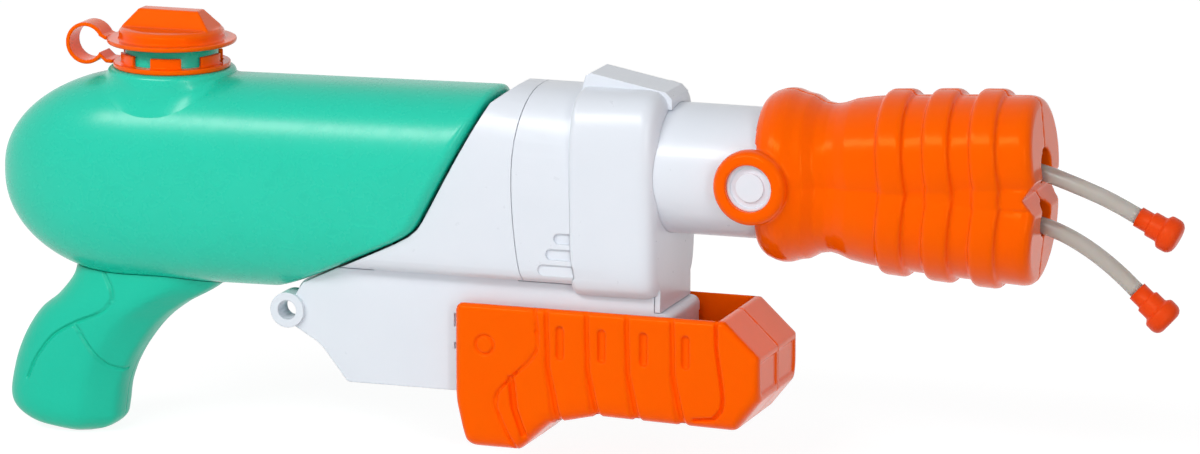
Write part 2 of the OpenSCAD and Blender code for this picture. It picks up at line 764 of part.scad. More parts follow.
// Collar: a rounded band with a flat front and the sight block on top.
collar_square = 5;
collar_mid = (collar_top + collar_low) / 2;
module collar_form(t, x0, x1) loft([
  for (s = [[x0, 1.6], [x0 + 1.2, 0.4], [x0 + 3, 0], [x1 - 8, 0], [x1 - 4, 1], [x1 - 1.6, 3], [x1, 6.5]])
    [
      for (p = section(collar_w / 2 - s[1] - t, collar_top - collar_mid - s[1] - t,
                       collar_mid - collar_low - s[1] * 0.5 - t, 4, collar_square, 40))
        [s[0], p[0], collar_mid + p[1]]
    ]
]);
module front_collar() color(white) difference() {
  union() {
    collar_form(0, collar_x, collar_front);
    translate([collar_front - wall, -shell_half, step_z + seam]) cube([wall, chassis_w, house_low - step_z]);
    sight();
  }
  along_x(collar_x - 1, collar_front - 9) collar_hollow(seam);
  along_x(collar_front - 10, collar_front - wall) collar_hollow(-6);
  x_rod(barrel_r + run, collar_x - 2, collar_front + 2, barrel_z);
  translate([collar_x - 1, -shell_half - seam, chassis_low])
    cube([collar_len - 1.6, chassis_w + 2 * seam, house_low - chassis_low]);
}
module collar_hollow(grow) polygon([
  for (p = section(house_w / 2 + grow, house_top - house_mid + grow, house_mid - house_low + grow,
                   house_up, house_down, house_sides)) [p[0], house_mid + p[1]]
]);
module sight() slab(-sight_w / 2, sight_w / 2) polygon([
  [collar_x - 1, collar_top - 3], [collar_x + 1, collar_top + sight_h - 1.4], [collar_x + 3.4, collar_top + sight_h],
  [collar_front - 1, collar_top - 1], [collar_front + 2, collar_top - 4], [collar_front + 2, collar_top - 9],
  [collar_x + 6, collar_top - 9]
]);

// Barrel: a tube with two dished pivot pins.
trunnion_y = barrel_r + trunnion_h;
module barrel() color(white) difference() {
  union() {
    x_rod(barrel_r, barrel_rear, barrel_front, barrel_z);
    y_rod(trunnion_r, -trunnion_y, trunnion_y, pivot_x, barrel_z);
  }
  x_rod(barrel_r - wall, barrel_rear - 1, barrel_front + 1, barrel_z);
  for (side = [-1, 1]) translate([pivot_x, side * trunnion_y, barrel_z]) rotate([side * 90, 0, 0])
    trunnion_dish();
}
// Hollow in a pivot pin's end that leaves a raised disc.
module trunnion_dish() translate([0, 0, -eps]) rotate_extrude() polygon([
  [trunnion_r * 0.62, -1], [trunnion_r * 0.62, 0.9], [trunnion_r - 1.6, 1.4], [trunnion_r - 0.7, -1]
]);

// Pump cylinder lies in the chassis, with the gland in front and valves behind.
module pump_cylinder() color(clear_grey) difference() {
  x_rod(cyl_r + cyl_wall, cyl_rear, cyl_front, cyl_z);
  x_rod(cyl_r, cyl_rear - 1, cyl_front + 1, cyl_z);
}
module gland_bush() color(black) difference() {
  union() {
    x_rod(cyl_r - run, cyl_front - 8, cyl_front, cyl_z);
    x_rod(cyl_r + cyl_wall, cyl_front, cyl_front + gland_flange, cyl_z);
    x_rod(gland_nose_r, cyl_front, chassis_front, cyl_z);
  }
  x_rod(rod_r + run, cyl_front - 9, chassis_front + 1, cyl_z);
}

// Valve block: a socket for the cylinder and two valve seats under the port cap.
flap_r = 4.6;
flap_t = 1;
flap_room = 2.2;
module valve_block() color(black) difference() {
  translate([block_x, -block_half, block_low]) cube([block_len, 2 * block_half, block_top - block_low]);
  x_rod(cyl_r + cyl_wall + run, cyl_rear, block_x + block_len + 1, cyl_z);
  x_rod(cyl_r - 4, block_x + 3, cyl_rear + 1, cyl_z);
  for (x = port_x) z_rod(port_r, cyl_z, block_top + 1, x);
  for (x = port_x) z_rod(flap_r + seam, block_top - flap_room, block_top + 1, x);
}
module inlet_flap() color(black) z_rod(flap_r, block_top - flap_t, block_top, port_x[0]);
module outlet_flap() color(black)
  z_rod(flap_r, block_top - flap_room, block_top - flap_room + flap_t, port_x[1]);

// Port cap: a plate with two nipples.
port_plate = 3;
nipple_r = 3.6;
nipple_h = 8;
nipple_bore = 2.2;
module port_cap() color(white) difference() {
  union() {
    translate([block_x, -block_half, block_top]) cube([block_len - socket_deep, 2 * block_half, port_plate]);
    for (x = port_x) z_rod(nipple_r, block_top, block_top + port_plate + nipple_h, x);
  }
  for (x = port_x) z_rod(nipple_bore, block_top - 1, block_top + far, x);
}

// The intake hose drops from the spigot to the inlet nipple.
tube_r_out = nipple_r + 2.2;
hose_low = block_top + port_plate + 0.3;
module intake_hose() color(clear_grey) difference() {
  z_rod(tube_r_out, hose_low, spigot_flange_z - grommet_t - eps, port_x[0]);
  z_rod(nipple_r + run, hose_low - 1, spigot_flange_z, port_x[0]);
}

// The delivery hose runs forward, up behind the barrel and into it.
level_z = 97;
riser_x = barrel_rear - 11;
bend_r = 8;
delivery_end = pivot_x - 34;
module delivery_hose() color(clear_grey) difference() {
  hose_run(tube_r_out, 0);
  hose_run(nipple_r + run, 1);
}
module hose_run(r, over) {
  z_rod(r, hose_low - over, level_z - bend_r, port_x[1]);
  elbow(port_x[1] + bend_r, level_z - bend_r, 90, r);
  x_rod(r, port_x[1] + bend_r, riser_x - bend_r, level_z);
  elbow(riser_x - bend_r, level_z + bend_r, 270, r);
  z_rod(r, level_z + bend_r, barrel_z - bend_r, riser_x);
  elbow(riser_x + bend_r, barrel_z - bend_r, 90, r);
  x_rod(r, riser_x + bend_r, delivery_end + over, barrel_z);
}
// A quarter bend about a centre, starting at an angle in the side view.
module elbow(x, z, start, r) translate([x, 0, z]) rotate([90, 0, 0]) rotate([0, 0, start])
  rotate_extrude(angle = 90) translate([bend_r, 0]) circle(r = r, $fn = 32);

// Bulkhead in the barrel with the stem and ball of the swivel outlet.
stem_r = 4;
bulkhead_x = pivot_x - 28;
module outlet_ball() color(white) difference() {
  union() {
    x_rod(barrel_r - wall - run, bulkhead_x, bulkhead_x + wall, barrel_z);
    x_rod(stem_r + 2, bulkhead_x, bulkhead_x + 12, barrel_z);
    x_rod(nipple_r, delivery_end - 8, bulkhead_x + 1, barrel_z);
    x_rod(stem_r, bulkhead_x + 1, pivot_x, barrel_z);
    translate([pivot_x, 0, barrel_z]) sphere(r = ball_r);
  }
  x_rod(2, delivery_end - 9, pivot_x + ball_r + 1, barrel_z);
}

// Pump grip: two halves round an open channel that slides on the chassis.
pump_line = [
  [pump_rear, pump_top, 4], [pump_rear, 36, 40], [pump_rear + 5.2, pump_foot + 0.2, 6],
  [pump_rear + 30.7, pump_foot, 5], [pump_rear + 45.2, pump_low - 3.5, 12], [pump_rear + 68.2, pump_low + 1.8, 30],
  [pump_front - 12, pump_low, 6], [pump_front, pump_low + 15, 3], [pump_front, pump_top - 16.2, 2],
  [pump_front - 17.2, pump_top, 2]
];
pump_half = pump_w / 2;
channel_half = pump_half - pump_wall;
channel_low = chassis_low - 2;
pump_mouth = pump_front - 20;
rod_boss_r = rod_r + 3;
rod_front = pump_front - 6;
boss_rear = pump_front - 24;
pin_x = pump_front - 15;
pump_screw_at = [[pump_front - 13, cyl_z + 10], [pump_front - 14, pump_low + 11], [pump_rear + 17, pump_foot + 9]];
module pump_side(side) difference() {
  union() {
    difference() {
      mirror([0, side > 0 ? 1 : 0, 0]) rounded_half(pump_line, [40, cyl_z], pump_half, pump_round);
      difference() {
        union() {
          pump_channel();
          pump_foot_room();
        }
        for (s = pump_screw_at) y_rod(screw_r + post_wall, -far, far, s[0], s[1]);
      }
      pump_marks(side);
    }
    intersection() {
      union() {
        x_rod(rod_boss_r, boss_rear, pump_front - 3, cyl_z);
        translate([boss_rear, -channel_half, cyl_z - 2]) cube([3, 2 * channel_half, 4]);
      }
      half(side) translate([boss_rear, -channel_half, 0]) cube([far, 2 * channel_half, far]);
    }
    pump_rails(side);
  }
  x_rod(rod_r + run, boss_rear - 1, rod_front + seam, cyl_z);
  y_rod(pin_r + run, -rod_boss_r + 1, rod_boss_r - 1, pin_x, cyl_z);
  for (s = pump_screw_at) screw_space(s[0], s[1], pump_screw_y, pump_screw_len);
}
module pump_channel() slab(-channel_half, channel_half) polygon([
  [pump_rear - far, channel_low], [pump_front - 14, channel_low], [pump_front - 3.6, channel_low + 10],
  [pump_front - 3.6, pump_top - 17], [pump_mouth, pump_top - 1], [pump_mouth, pump_top + 9],
  [pump_rear - far, pump_top + 9]
]);
// Hollow inside the foot, below the floor of the channel.
module pump_foot_room() slab(-channel_half, channel_half) intersection() {
  polygon(fillet(inset(pump_line, pump_wall)));
  translate([-far, 0]) square([2 * far, channel_low - pump_wall]);
}
// Ribs inside the channel that run in the chassis grooves.
pump_rail_h = channel_half - shell_half + rail_depth - pump_gap;
module pump_rails(side) for (k = [0, 1]) for (x = [pump_rear + 4, pump_rear + 44])
  translate([x, side > 0 ? channel_half - pump_rail_h : -channel_half - eps, rail_z[k] - rail_h[k] / 2 + pump_gap])
    cube([24, pump_rail_h + eps, rail_h[k] - 2 * pump_gap]);

// Marks pressed into a side: slots, a round mark and the grooves between fingers.
slot_x = 33.6;
slot_z = 66.4;
mark_at = [-3.4, 63];
mark_r = 4.9;
groove_x = [26, 45.6, 65.2, 87.2];
module pump_marks(side) {
  y0 = pump_half - slot_depth;
  slab(side > 0 ? y0 : -far, side > 0 ? far : -y0) {
    for (k = [0 : slot_count - 1]) translate([slot_x + k * slot_pitch, slot_z]) pill(slot_w, slot_h);
    translate(mark_at) difference() {
      circle(r = mark_r, $fn = 32);
      circle(r = mark_r - 1, $fn = 32);
    }
    for (x = groove_x) finger_groove(x);
    groove_line([[21.3, pump_top + 1], [22.2, 62.5], [10.4, 48.8], [2.9, 40.5], [2.6, 32.4], [12.8, pump_foot - 2]], 1);
    groove_line([[9.1, 48.2], [10.6, 34], [15, 21.7]], groove_w);
    groove_line([[109.3, pump_top + 1], [109.8, 69], [112, 54], [112.9, 46], [112.2, 40.6], [108.2, 36], [99, 34.8]], 1.8);
  }
  translate([pump_front - 0.8, side > 0 ? 2 : -pump_half + 5, pump_low + 18]) cube([far, pump_half - 7, 15.5]);
}
module pill(w, h) {
  square([w, h - w], center = true);
  for (s = [-1, 1]) translate([0, s * (h - w) / 2]) circle(d = w, $fn = 24);
}
// A groove that starts upright and leans forward towards the underside.
module finger_groove(x) polygon([
  [x, pump_top + 1], [x + 0.6, 55], [x + 3, 42], [x + 8.5, pump_foot - 8],
  [x + 8.5 + groove_w, pump_foot - 8], [x + 3 + groove_w, 42], [x + 0.6 + groove_w, 55], [x + groove_w, pump_top + 1]
]);
// A groove of one width along a row of points.
module groove_line(line, w) for (i = [0 : len(line) - 2]) stroke_2d(line[i], line[i + 1], w);
module stroke_2d(a, b, w) {
  d = unit(b - a) * w / 2;
  n = [-d[1], d[0]];
  polygon([a - d + n, a - d - n, b + d - n, b + d + n]);
}
module pump_grip_right() color(orange) pump_side(-1);
module pump_grip_left() color(orange) pump_side(1);
module pump_screws() color(steel) for (s = pump_screw_at) screw(s[0], s[1], pump_screw_y, pump_screw_len);

// Piston rod with its head, seal and cross pin.
piston_x = cyl_rear + 14;
head_len = 9;
module piston_rod() color(white) difference() {
  x_rod(rod_r, piston_x, rod_front, cyl_z);
  y_rod(pin_r + run, -rod_r - 1, rod_r + 1, pin_x, cyl_z);
}
module rod_pin() color(steel) y_rod(pin_r, -rod_boss_r + 1 + seam, rod_boss_r - 1 - seam, pin_x, cyl_z);
module piston_head() color(orange) difference() {
  x_rod(cyl_r - 0.5, piston_x - 5, piston_x - 5 + head_len, cyl_z);
  x_rod(rod_r + run, piston_x, piston_x + head_len, cyl_z);
  translate([piston_x - 1.5, 0, cyl_z]) rotate([0, 90, 0]) rotate_extrude()
    translate([cyl_r - 2.6, 0]) square([3, 2.4]);
}
module piston_seal() color(black) translate([piston_x - 0.3, 0, cyl_z]) rotate([0, 90, 0]) rotate_extrude()
  translate([cyl_r - run - 1.1, 0]) circle(r = 1.1, $fn = 24);

// Nozzle: two lobes whose axes spread towards the front, with a web between.
lobe_angle = atan((lobe_front - lobe_rear) / nozzle_len);
face_x = nozzle_len;
// Radius of a lobe along its axis: [distance from the rear rim, radius].
lobe_curve = [
  [0, bulb_r - 4.4], [1.4, bulb_r - 2.8], [4, bulb_r - 1.2], [8, bulb_r - 0.2], [11, bulb_r], [14, bulb_r - 0.6],
  [18, bulb_r - 2.4],
  [22, (bulb_r + neck_lobe_r) / 2 + 0.6], [27, neck_lobe_r + 1.2], [32, neck_lobe_r], [36, neck_lobe_r + 0.4],
  [42, (neck_lobe_r + rib_lobe_r) / 2 + 0.6], [50, rib_lobe_r - 0.2], [60, rib_lobe_r + 0.1],
  [80, rib_lobe_r - 0.6], [100, (rib_lobe_r + face_lobe_r) / 2], [face_x - 5, face_lobe_r + 0.1]
];
face_edge = [[face_x - 2.4, face_lobe_r - 0.7], [face_x - 0.7, face_lobe_r - 2.2], [face_x, face_lobe_r - 4.2]];
function lobe_r(s) = lookup(s, lobe_curve);
function rib_at(k) = rib_start + k * rib_pitch;
// Profile of one rib, with rounded shoulders.
function rib_points(k, out) = [
  for (q = [[-0.5, 0], [-0.5, 0.62], [-0.42, 0.9], [-0.3, 1], [0.3, 1], [0.42, 0.9], [0.5, 0.62], [0.5, 0]])
    let (s = rib_at(k) + q[0] * rib_w) [s, lobe_r(s) + q[1] * rib_h - out]
];
// Outline of the body from the rear rim to the face, reduced by out.
function body_line(out) = concat(
  [for (q = lobe_curve) if (q[0] < rib_at(0) - rib_w / 2) [q[0], q[1] - out]],
  [for (k = [0 : rib_count - 1]) each rib_points(k, out)],
  [for (q = lobe_curve) if (q[0] > rib_at(rib_count - 1) + rib_w / 2) [q[0], q[1] - out]],
  [for (q = face_edge) [q[0], q[1] - out]]
);
function plain_line(out, stop) = concat(
  [[-5, bulb_r - 4.4 - out]],
  [for (q = lobe_curve) if (q[0] < stop) [q[0], q[1] - out]],
  [[stop, lobe_r(stop) - out - 1]]
);
module lobe(line, side) translate([nozzle_rear, 0, barrel_z + side * lobe_rear])
  rotate([0, 90 - side * lobe_angle, 0]) rotate_extrude()
    polygon(concat([[0, line[0][0]]], [for (q = line) [q[1], q[0]]], [[0, line[len(line) - 1][0]]]));
web_half_h = 4;
module web(line, depth, z_half) translate([nozzle_rear, 0, barrel_z - z_half]) linear_extrude(2 * z_half)
  polygon(concat([for (q = line) [q[0], q[1] - depth]], [for (k = [len(line) - 1 : -1 : 0]) [line[k][0], depth - line[k][1]]]));
module nozzle_solid() {
  line = body_line(0);
  for (side = [-1, 1]) lobe(line, side);
  web(line, crease, web_half_h);
  for (side = [-1, 1]) y_boss(side);
}
// Pivot ring with a rounded outer edge.
boss_in = barrel_r - 1.4;
boss_half = trunnion_y + boss_over;
module y_boss(side) translate([pivot_x, 0, barrel_z]) rotate([side * -90, 0, 0]) rotate_extrude()
  polygon([
    [0, boss_in], [boss_r - 2, boss_in], [boss_r, boss_in + 3], [boss_r, boss_half - 3.4],
    [boss_r - 0.8, boss_half - 1.4], [boss_r - 2.4, boss_half - 0.3], [boss_r - 4, boss_half], [0, boss_half]
  ]);
// Room that the tilted barrel takes up between two distances from the pivot axis.
module sweep_step(a0, a1) {
  reach = max(abs(a0), abs(a1));
  rise = (barrel_r + reach * sin(nozzle_tilt)) / cos(nozzle_tilt) - barrel_r;
  along_x(pivot_x + a0, pivot_x + a1) translate([0, barrel_z]) {
    for (side = [-1, 1]) translate([0, side * rise]) circle(r = barrel_r + seam);
    square([2 * (barrel_r + seam), 2 * rise], center = true);
  }
}
front_wall = 3 + valley;
nozzle_screw_at = [[nozzle_rear + 34, barrel_z + 22], [nozzle_rear + 34, barrel_z - 22],
                   [nozzle_rear + 104, barrel_z + 31], [nozzle_rear + 104, barrel_z - 31]];
module nozzle_body() difference() {
  nozzle_solid();
  difference() {
    union() {
      line = plain_line(wall, nozzle_len - front_wall);
      for (side = [-1, 1]) lobe(line, side);
      web(line, crease, web_half_h);
      intersection() {
        translate([pivot_x, 0, barrel_z]) sphere(r = norm([pivot_back, barrel_r]) + seam);
        translate([pivot_x + 5, -barrel_r - seam, 0]) cube([far, 2 * (barrel_r + seam), far * 2]);
      }
      sweep_step(-4, 2.5);
      sweep_step(2.5, 6);
    }
    for (s = nozzle_screw_at) y_rod(screw_r + post_wall, -far, far, s[0], s[1]);
    difference() {
      translate([manifold_front - 6, -far, barrel_z - outlet_off - 9]) cube([4, 2 * far, 2 * outlet_off + 18]);
      for (side = [-1, 1]) x_rod(tube_r + run, manifold_front - 9, manifold_front, barrel_z + side * outlet_off);
    }
  }
  x_rod(barrel_r + seam + 1, nozzle_rear - far, nozzle_rear - eps, barrel_z);
  translate([pivot_x - boss_r - 1, -barrel_r - seam, barrel_z - boss_r - 1])
    cube([boss_r + 1 + rim_start, 2 * (barrel_r + seam), 2 * boss_r + 2]);
  y_rod(trunnion_r + run, -far, far, pivot_x, barrel_z);
  for (side = [-1, 1]) x_rod(outlet_r, nozzle_front - 2 * front_wall, nozzle_front + 1, barrel_z + side * outlet_off);
  slab(-far, far) polygon([
    [nozzle_front + 6, barrel_z - 16], [nozzle_front - valley, barrel_z], [nozzle_front + 6, barrel_z + 16]
  ]);
  for (s = nozzle_screw_at) screw_space(s[0], s[1], nozzle_screw_y, nozzle_screw_len);
}
module nozzle_right() color(orange) half(-1) nozzle_body();
module nozzle_left() color(orange) half(1) nozzle_body();
module nozzle_screws() color(steel) for (s = nozzle_screw_at) screw(s[0], s[1], nozzle_screw_y, nozzle_screw_len);

// Manifold: a socket round the ball, a plenum and two tubes to the hoses.
socket_r = ball_r + 3;
plenum_x = pivot_x + ball_r + 3;
manifold_front = nozzle_front - 21;
tube_r = hose_d / 2;
tube_bore = 2;
module nozzle_manifold() color(white) difference() {
  union() {
    translate([pivot_x, 0, barrel_z]) sphere(r = socket_r);
    x_rod(6, pivot_x, plenum_x + 6, barrel_z);
    translate([plenum_x + 1, -4.5, barrel_z - outlet_off - 4.5]) cube([9, 9, 2 * outlet_off + 9]);
    for (side = [-1, 1]) x_rod(tube_r, plenum_x + 5, manifold_front, barrel_z + side * outlet_off);
  }
  translate([pivot_x, 0, barrel_z]) sphere(r = ball_r + run);
  x_rod(far, pivot_x - far, pivot_x - ball_r * cos(nozzle_tilt + asin((stem_r + 1.5) / ball_r)), barrel_z);
  x_rod(2, pivot_x, plenum_x + 5, barrel_z);
  z_rod(2, barrel_z - outlet_off, barrel_z + outlet_off, plenum_x + 5.5);
  for (side = [-1, 1]) x_rod(tube_bore, plenum_x + 5.5, manifold_front + 1, barrel_z + side * outlet_off);
}

// Free hoses, swept along points chosen by hand, in x and z.
upper_route = [
  [manifold_front, barrel_z + outlet_off], [244, 158.4], [252, 156.6], [260, 154.4], [268, 151.8], [276, 149], [284, 146], [292, 142.4], [300, 138.4]
];
lower_route = [
  [manifold_front, barrel_z - outlet_off], [244, 134], [252, 132.2], [260, 130], [268, 126.8], [276, 122.6], [284, 117.4], [292, 111.2], [300, 104]
];
hose_sides = 12;
function route_dir(p, i) = unit(flat(p[min(i + 1, len(p) - 1)]) - flat(p[max(i - 1, 0)]));
module swept_hose(p, r) {
  n = len(p);
  polyhedron(
    points = [
      for (i = [0 : n - 1]) for (j = [0 : hose_sides - 1])
        let (d = i == 0 ? [1, 0] : route_dir(p, i), a = 360 * j / hose_sides)
        [p[i][0] - d[1] * r * cos(a), r * sin(a), p[i][1] + d[0] * r * cos(a)]
    ],
    faces = [
      [for (j = [0 : hose_sides - 1]) j],
      for (i = [0 : n - 2]) for (j = [0 : hose_sides - 1])
        let (a = i * hose_sides + j, b = i * hose_sides + (j + 1) % hose_sides)
        each [[a, b + hose_sides, b], [a, a + hose_sides, b + hose_sides]],
      [for (j = [hose_sides - 1 : -1 : 0]) (n - 1) * hose_sides + j]
    ]
  );
}
module hose_upper() color(clear_grey) swept_hose(upper_route, hose_d / 2);
module hose_lower() color(clear_grey) swept_hose(lower_route, hose_d / 2);

// Soft tip: a sleeve, a collar and a rounded head, in line with the hose's end.
module tip(route) {
  last = len(route) - 1;
  d = unit(flat(route[last]) - flat(route[last - 1]));
  r = hose_d / 2;
  translate([route[last][0], 0, route[last][1]]) rotate([0, 90 - atan2(d[1], d[0]), 0]) rotate_extrude() polygon([
    [0, 0], [r + 1, 0], [r + 1, 6], [r + 2.2, 6.6], [r + 2.2, 12], [tip_r - 1.2, 12.8], [tip_r, 14.2],
    [tip_r, 12 + tip_head - 3.4], [tip_r - 1, 12 + tip_head - 1.4], [tip_r - 3, 12 + tip_head], [0, 12 + tip_head]
  ]);
}
module tip_upper() color(tip_orange) tip(upper_route);
module tip_lower() color(tip_orange) tip(lower_route);

water_tank();
tank_grommet();
cap_ring();
cap();
cap_seal();
cap_strap();
grip_right();
grip_left();
grip_screws();
housing_right();
housing_left();
mid_shroud();
front_collar();
barrel();
housing_screws();
intake_hose();
valve_block();
port_cap();
inlet_flap();
outlet_flap();
pump_cylinder();
gland_bush();
delivery_hose();
outlet_ball();
pump_grip_right();
pump_grip_left();
pump_screws();
piston_rod();
piston_head();
piston_seal();
rod_pin();
nozzle_right();
nozzle_left();
nozzle_screws();
nozzle_manifold();
hose_upper();
hose_lower();
tip_upper();
tip_lower();
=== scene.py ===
"""Looks of a large pump-action water squirter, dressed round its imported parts.

Lengths are metres in the frame of the parts: +X towards the nozzle, +Z up, and the side that the
camera sees is -Y. A value whose name ends in _mm, or that is multiplied by MM, is in millimetres.
"""

import json
import logging
import math
from dataclasses import dataclass
from enum import Enum
from typing import Callable, Sequence

import bmesh
import bpy
import numpy as np
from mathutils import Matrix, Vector


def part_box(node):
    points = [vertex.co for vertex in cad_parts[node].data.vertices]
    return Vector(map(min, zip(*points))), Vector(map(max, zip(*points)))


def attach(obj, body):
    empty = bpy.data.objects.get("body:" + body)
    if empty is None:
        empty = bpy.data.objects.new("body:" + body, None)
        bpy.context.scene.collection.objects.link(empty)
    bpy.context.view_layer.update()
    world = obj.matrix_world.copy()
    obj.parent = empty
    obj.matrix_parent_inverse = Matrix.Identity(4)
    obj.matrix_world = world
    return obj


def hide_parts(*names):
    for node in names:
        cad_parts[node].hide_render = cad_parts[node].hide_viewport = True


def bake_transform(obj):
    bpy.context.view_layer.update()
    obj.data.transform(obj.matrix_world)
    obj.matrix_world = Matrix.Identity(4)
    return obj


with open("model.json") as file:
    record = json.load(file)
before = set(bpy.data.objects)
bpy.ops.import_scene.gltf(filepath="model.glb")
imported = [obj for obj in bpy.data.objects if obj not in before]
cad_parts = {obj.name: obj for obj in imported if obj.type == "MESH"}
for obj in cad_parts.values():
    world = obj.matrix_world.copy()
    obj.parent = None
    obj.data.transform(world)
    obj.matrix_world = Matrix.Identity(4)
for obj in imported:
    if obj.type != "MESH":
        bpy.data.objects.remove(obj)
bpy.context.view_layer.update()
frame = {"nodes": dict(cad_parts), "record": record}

LOG = logging.getLogger("squirter")
MM = 0.001
# Points merge and slivers go within these distances. The two counts are steps of smooth lines.
WELD = 1e-6
SLIVER = 1e-7
RUN_STEPS = 24
LINE_POINTS = 60
Array = np.ndarray
Outline = Sequence[tuple[float, float]] | Array
Carve = Callable[[Array], Array]


class Body(Enum):
    """The rigid bodies that pieces ride on."""

    GUN = "gun"
    CAP = "cap"
    PUMP = "pump"
    NOZZLE = "nozzle"


# Colour and material


def linear(hex_colour: str) -> tuple[float, float, float, float]:
    """Turns an sRGB hex colour to linear RGBA.

    Args:
        hex_colour: Six digits after a hash.
    Returns:
        Red, green, blue and an alpha of one.
    """
    parts = [int(hex_colour[k : k + 2], 16) / 255 for k in (1, 3, 5)]
    red, green, blue = (c / 12.92 if c <= 0.04045 else ((c + 0.055) / 1.055) ** 2.4 for c in parts)
    return (red, green, blue, 1.0)


def per_metre(size_mm: float) -> float:
    """Scale of a noise texture whose features are this many millimetres wide."""
    return 1.0 / (size_mm * MM)


def placed(name: str, data: bpy.types.ID) -> bpy.types.Object:
    """Makes an object and links it to the scene.

    Args:
        name: The object's name.
        data: Its mesh, lamp or camera.
    Returns:
        The object, at the origin.
    """
    thing = bpy.data.objects.new(name, data)
    bpy.context.scene.collection.objects.link(thing)
    return thing


def empty_tree(owner: bpy.types.Material | bpy.types.World) -> bpy.types.NodeTree:
    """Switches the nodes of a material or world on, and empties them.

    Args:
        owner: The material or world.
    Returns:
        Its node tree.
    """
    owner.use_nodes = True
    owner.node_tree.nodes.clear()
    return owner.node_tree


def add(
    tree: bpy.types.NodeTree, kind: str, settings: dict | None = None, links: dict | None = None
) -> bpy.types.Node:
    """Adds one shader node, sets its values and links its inputs.

    Args:
        tree: The material's or world's node tree.
        kind: The node's type name.
        settings: Values by the name or number of an input, or by the name of a property of the node.
        links: Output sockets by the name or number of the input that they go to.
    Returns:
        The new node.
    """
    node = tree.nodes.new(kind)
    for key, value in (settings or {}).items():
        if isinstance(key, int) or key in node.inputs:
            node.inputs[key].default_value = value
        else:
            setattr(node, key, value)
    for key, socket in (links or {}).items():
        tree.links.new(socket, node.inputs[key])
    return node


@dataclass(frozen=True)
class Finish:
    """A moulded surface: its colour, how rough it is and what its mould left on it."""

    name: str
    slot: str
    colour: str
    shade: str
    roughness: float
    ior: float = 1.46
    metallic: float = 0.0
    mottle_mm: float = 24.0
    mottle: float = 0.35
    smudge_mm: float = 6.0
    peel_mm: float = 3.0
    peel_depth_mm: float = 0.02
    grain_mm: float = 0.9
    grain_depth_mm: float = 0.0
    edge_mm: float = 0.5
    glow: float = 0.0
    glow_mm: float = 2.0
    glow_reach: tuple[float, float, float] = (1.0, 0.45, 0.25)
    clear: float = 0.0
    specular: float = 0.5
    specular_tint: str = "#ffffff"
    gloss_spread: float = 0.06

    def build(self) -> bpy.types.Material:
        """Builds the material.

        Colour drifts slowly between the base colour and its shade, as pigment does in a thick wall.
        Two noises lift the surface: the slow waves of a cooled skin, and the fine spark-eroded grain.
        Edges are rounded in the shading by the small radius that every mould has. Roughness varies a
        little with the smudges that hands leave. Red light glows furthest through the wall.

        Returns:
            The material, ready to be used by any piece.
        """
        material = bpy.data.materials.new(self.name)
        tree = empty_tree(material)
        place = {"Vector": add(tree, "ShaderNodeTexCoord").outputs["Object"]}
        drift = add(tree, "ShaderNodeTexNoise", {"Scale": per_metre(self.mottle_mm), "Detail": 3.0}, place)
        share = {"operation": "MULTIPLY", 1: self.mottle}
        amount = add(tree, "ShaderNodeMath", share, {0: drift.outputs["Fac"]})
        colours = {"data_type": "RGBA", 6: linear(self.colour), 7: linear(self.shade)}
        blend = add(tree, "ShaderNodeMix", colours, {0: amount.outputs[0]})
        smudges = add(tree, "ShaderNodeTexNoise", {"Scale": per_metre(self.smudge_mm), "Detail": 4.0}, place)
        span = {"To Min": self.roughness - self.gloss_spread, "To Max": self.roughness + self.gloss_spread}
        rough = add(tree, "ShaderNodeMapRange", span, {"Value": smudges.outputs["Fac"]})
        waves = add(tree, "ShaderNodeTexNoise", {"Scale": per_metre(self.peel_mm), "Detail": 1.5}, place)
        relief = {"Height": waves.outputs["Fac"]}
        if self.edge_mm > 0:
            rounded = add(tree, "ShaderNodeBevel", {"Radius": self.edge_mm * MM, "samples": 6})
            relief["Normal"] = rounded.outputs["Normal"]
        normal = add(tree, "ShaderNodeBump", {"Distance": self.peel_depth_mm * MM, "Strength": 1.0}, relief)
        if self.grain_depth_mm > 0:
            spark = add(tree, "ShaderNodeTexNoise", {"Scale": per_metre(self.grain_mm), "Detail": 2.0}, place)
            relief = {"Height": spark.outputs["Fac"], "Normal": normal.outputs["Normal"]}
            depth = {"Distance": self.grain_depth_mm * MM, "Strength": 1.0}
            normal = add(tree, "ShaderNodeBump", depth, relief)
        surface = {"IOR": self.ior, "Metallic": self.metallic, "Transmission Weight": self.clear,
                   "Specular IOR Level": self.specular, "Specular Tint": linear(self.specular_tint)}
        if self.glow > 0:
            surface |= {"Subsurface Weight": self.glow, "Subsurface Radius": self.glow_reach,
                        "Subsurface Scale": self.glow_mm * MM}
        shader = add(tree, "ShaderNodeBsdfPrincipled", surface,
                     {"Base Color": blend.outputs[2], "Roughness": rough.outputs["Result"],
                      "Normal": normal.outputs["Normal"]})
        add(tree, "ShaderNodeOutputMaterial", None, {"Surface": shader.outputs["BSDF"]})
        return material


# Blow-moulded polyethylene: a soft waxy gloss, and slow waves where the skin cooled.
TANK_SKIN = Finish(
    "blown_polyethylene_teal", "gloss_teal", "#0ecfaf", "#0abf9f", 0.27, ior=1.5, peel_mm=9.0,
    peel_depth_mm=0.04, edge_mm=0.0, specular=0.42,
)
# Polypropylene from a spark-eroded mould: a dull sheen that breaks into fine sparkle. The real
# grain is near 0.3 mm, too fine to show, so it is drawn coarser.
GRIP_SKIN = Finish(
    "grained_polypropylene_teal", "matte_teal", "#12c8a8", "#0cb596", 0.34, ior=1.49, grain_mm=2.0,
    grain_depth_mm=0.16, edge_mm=0.0, specular=0.3,
)
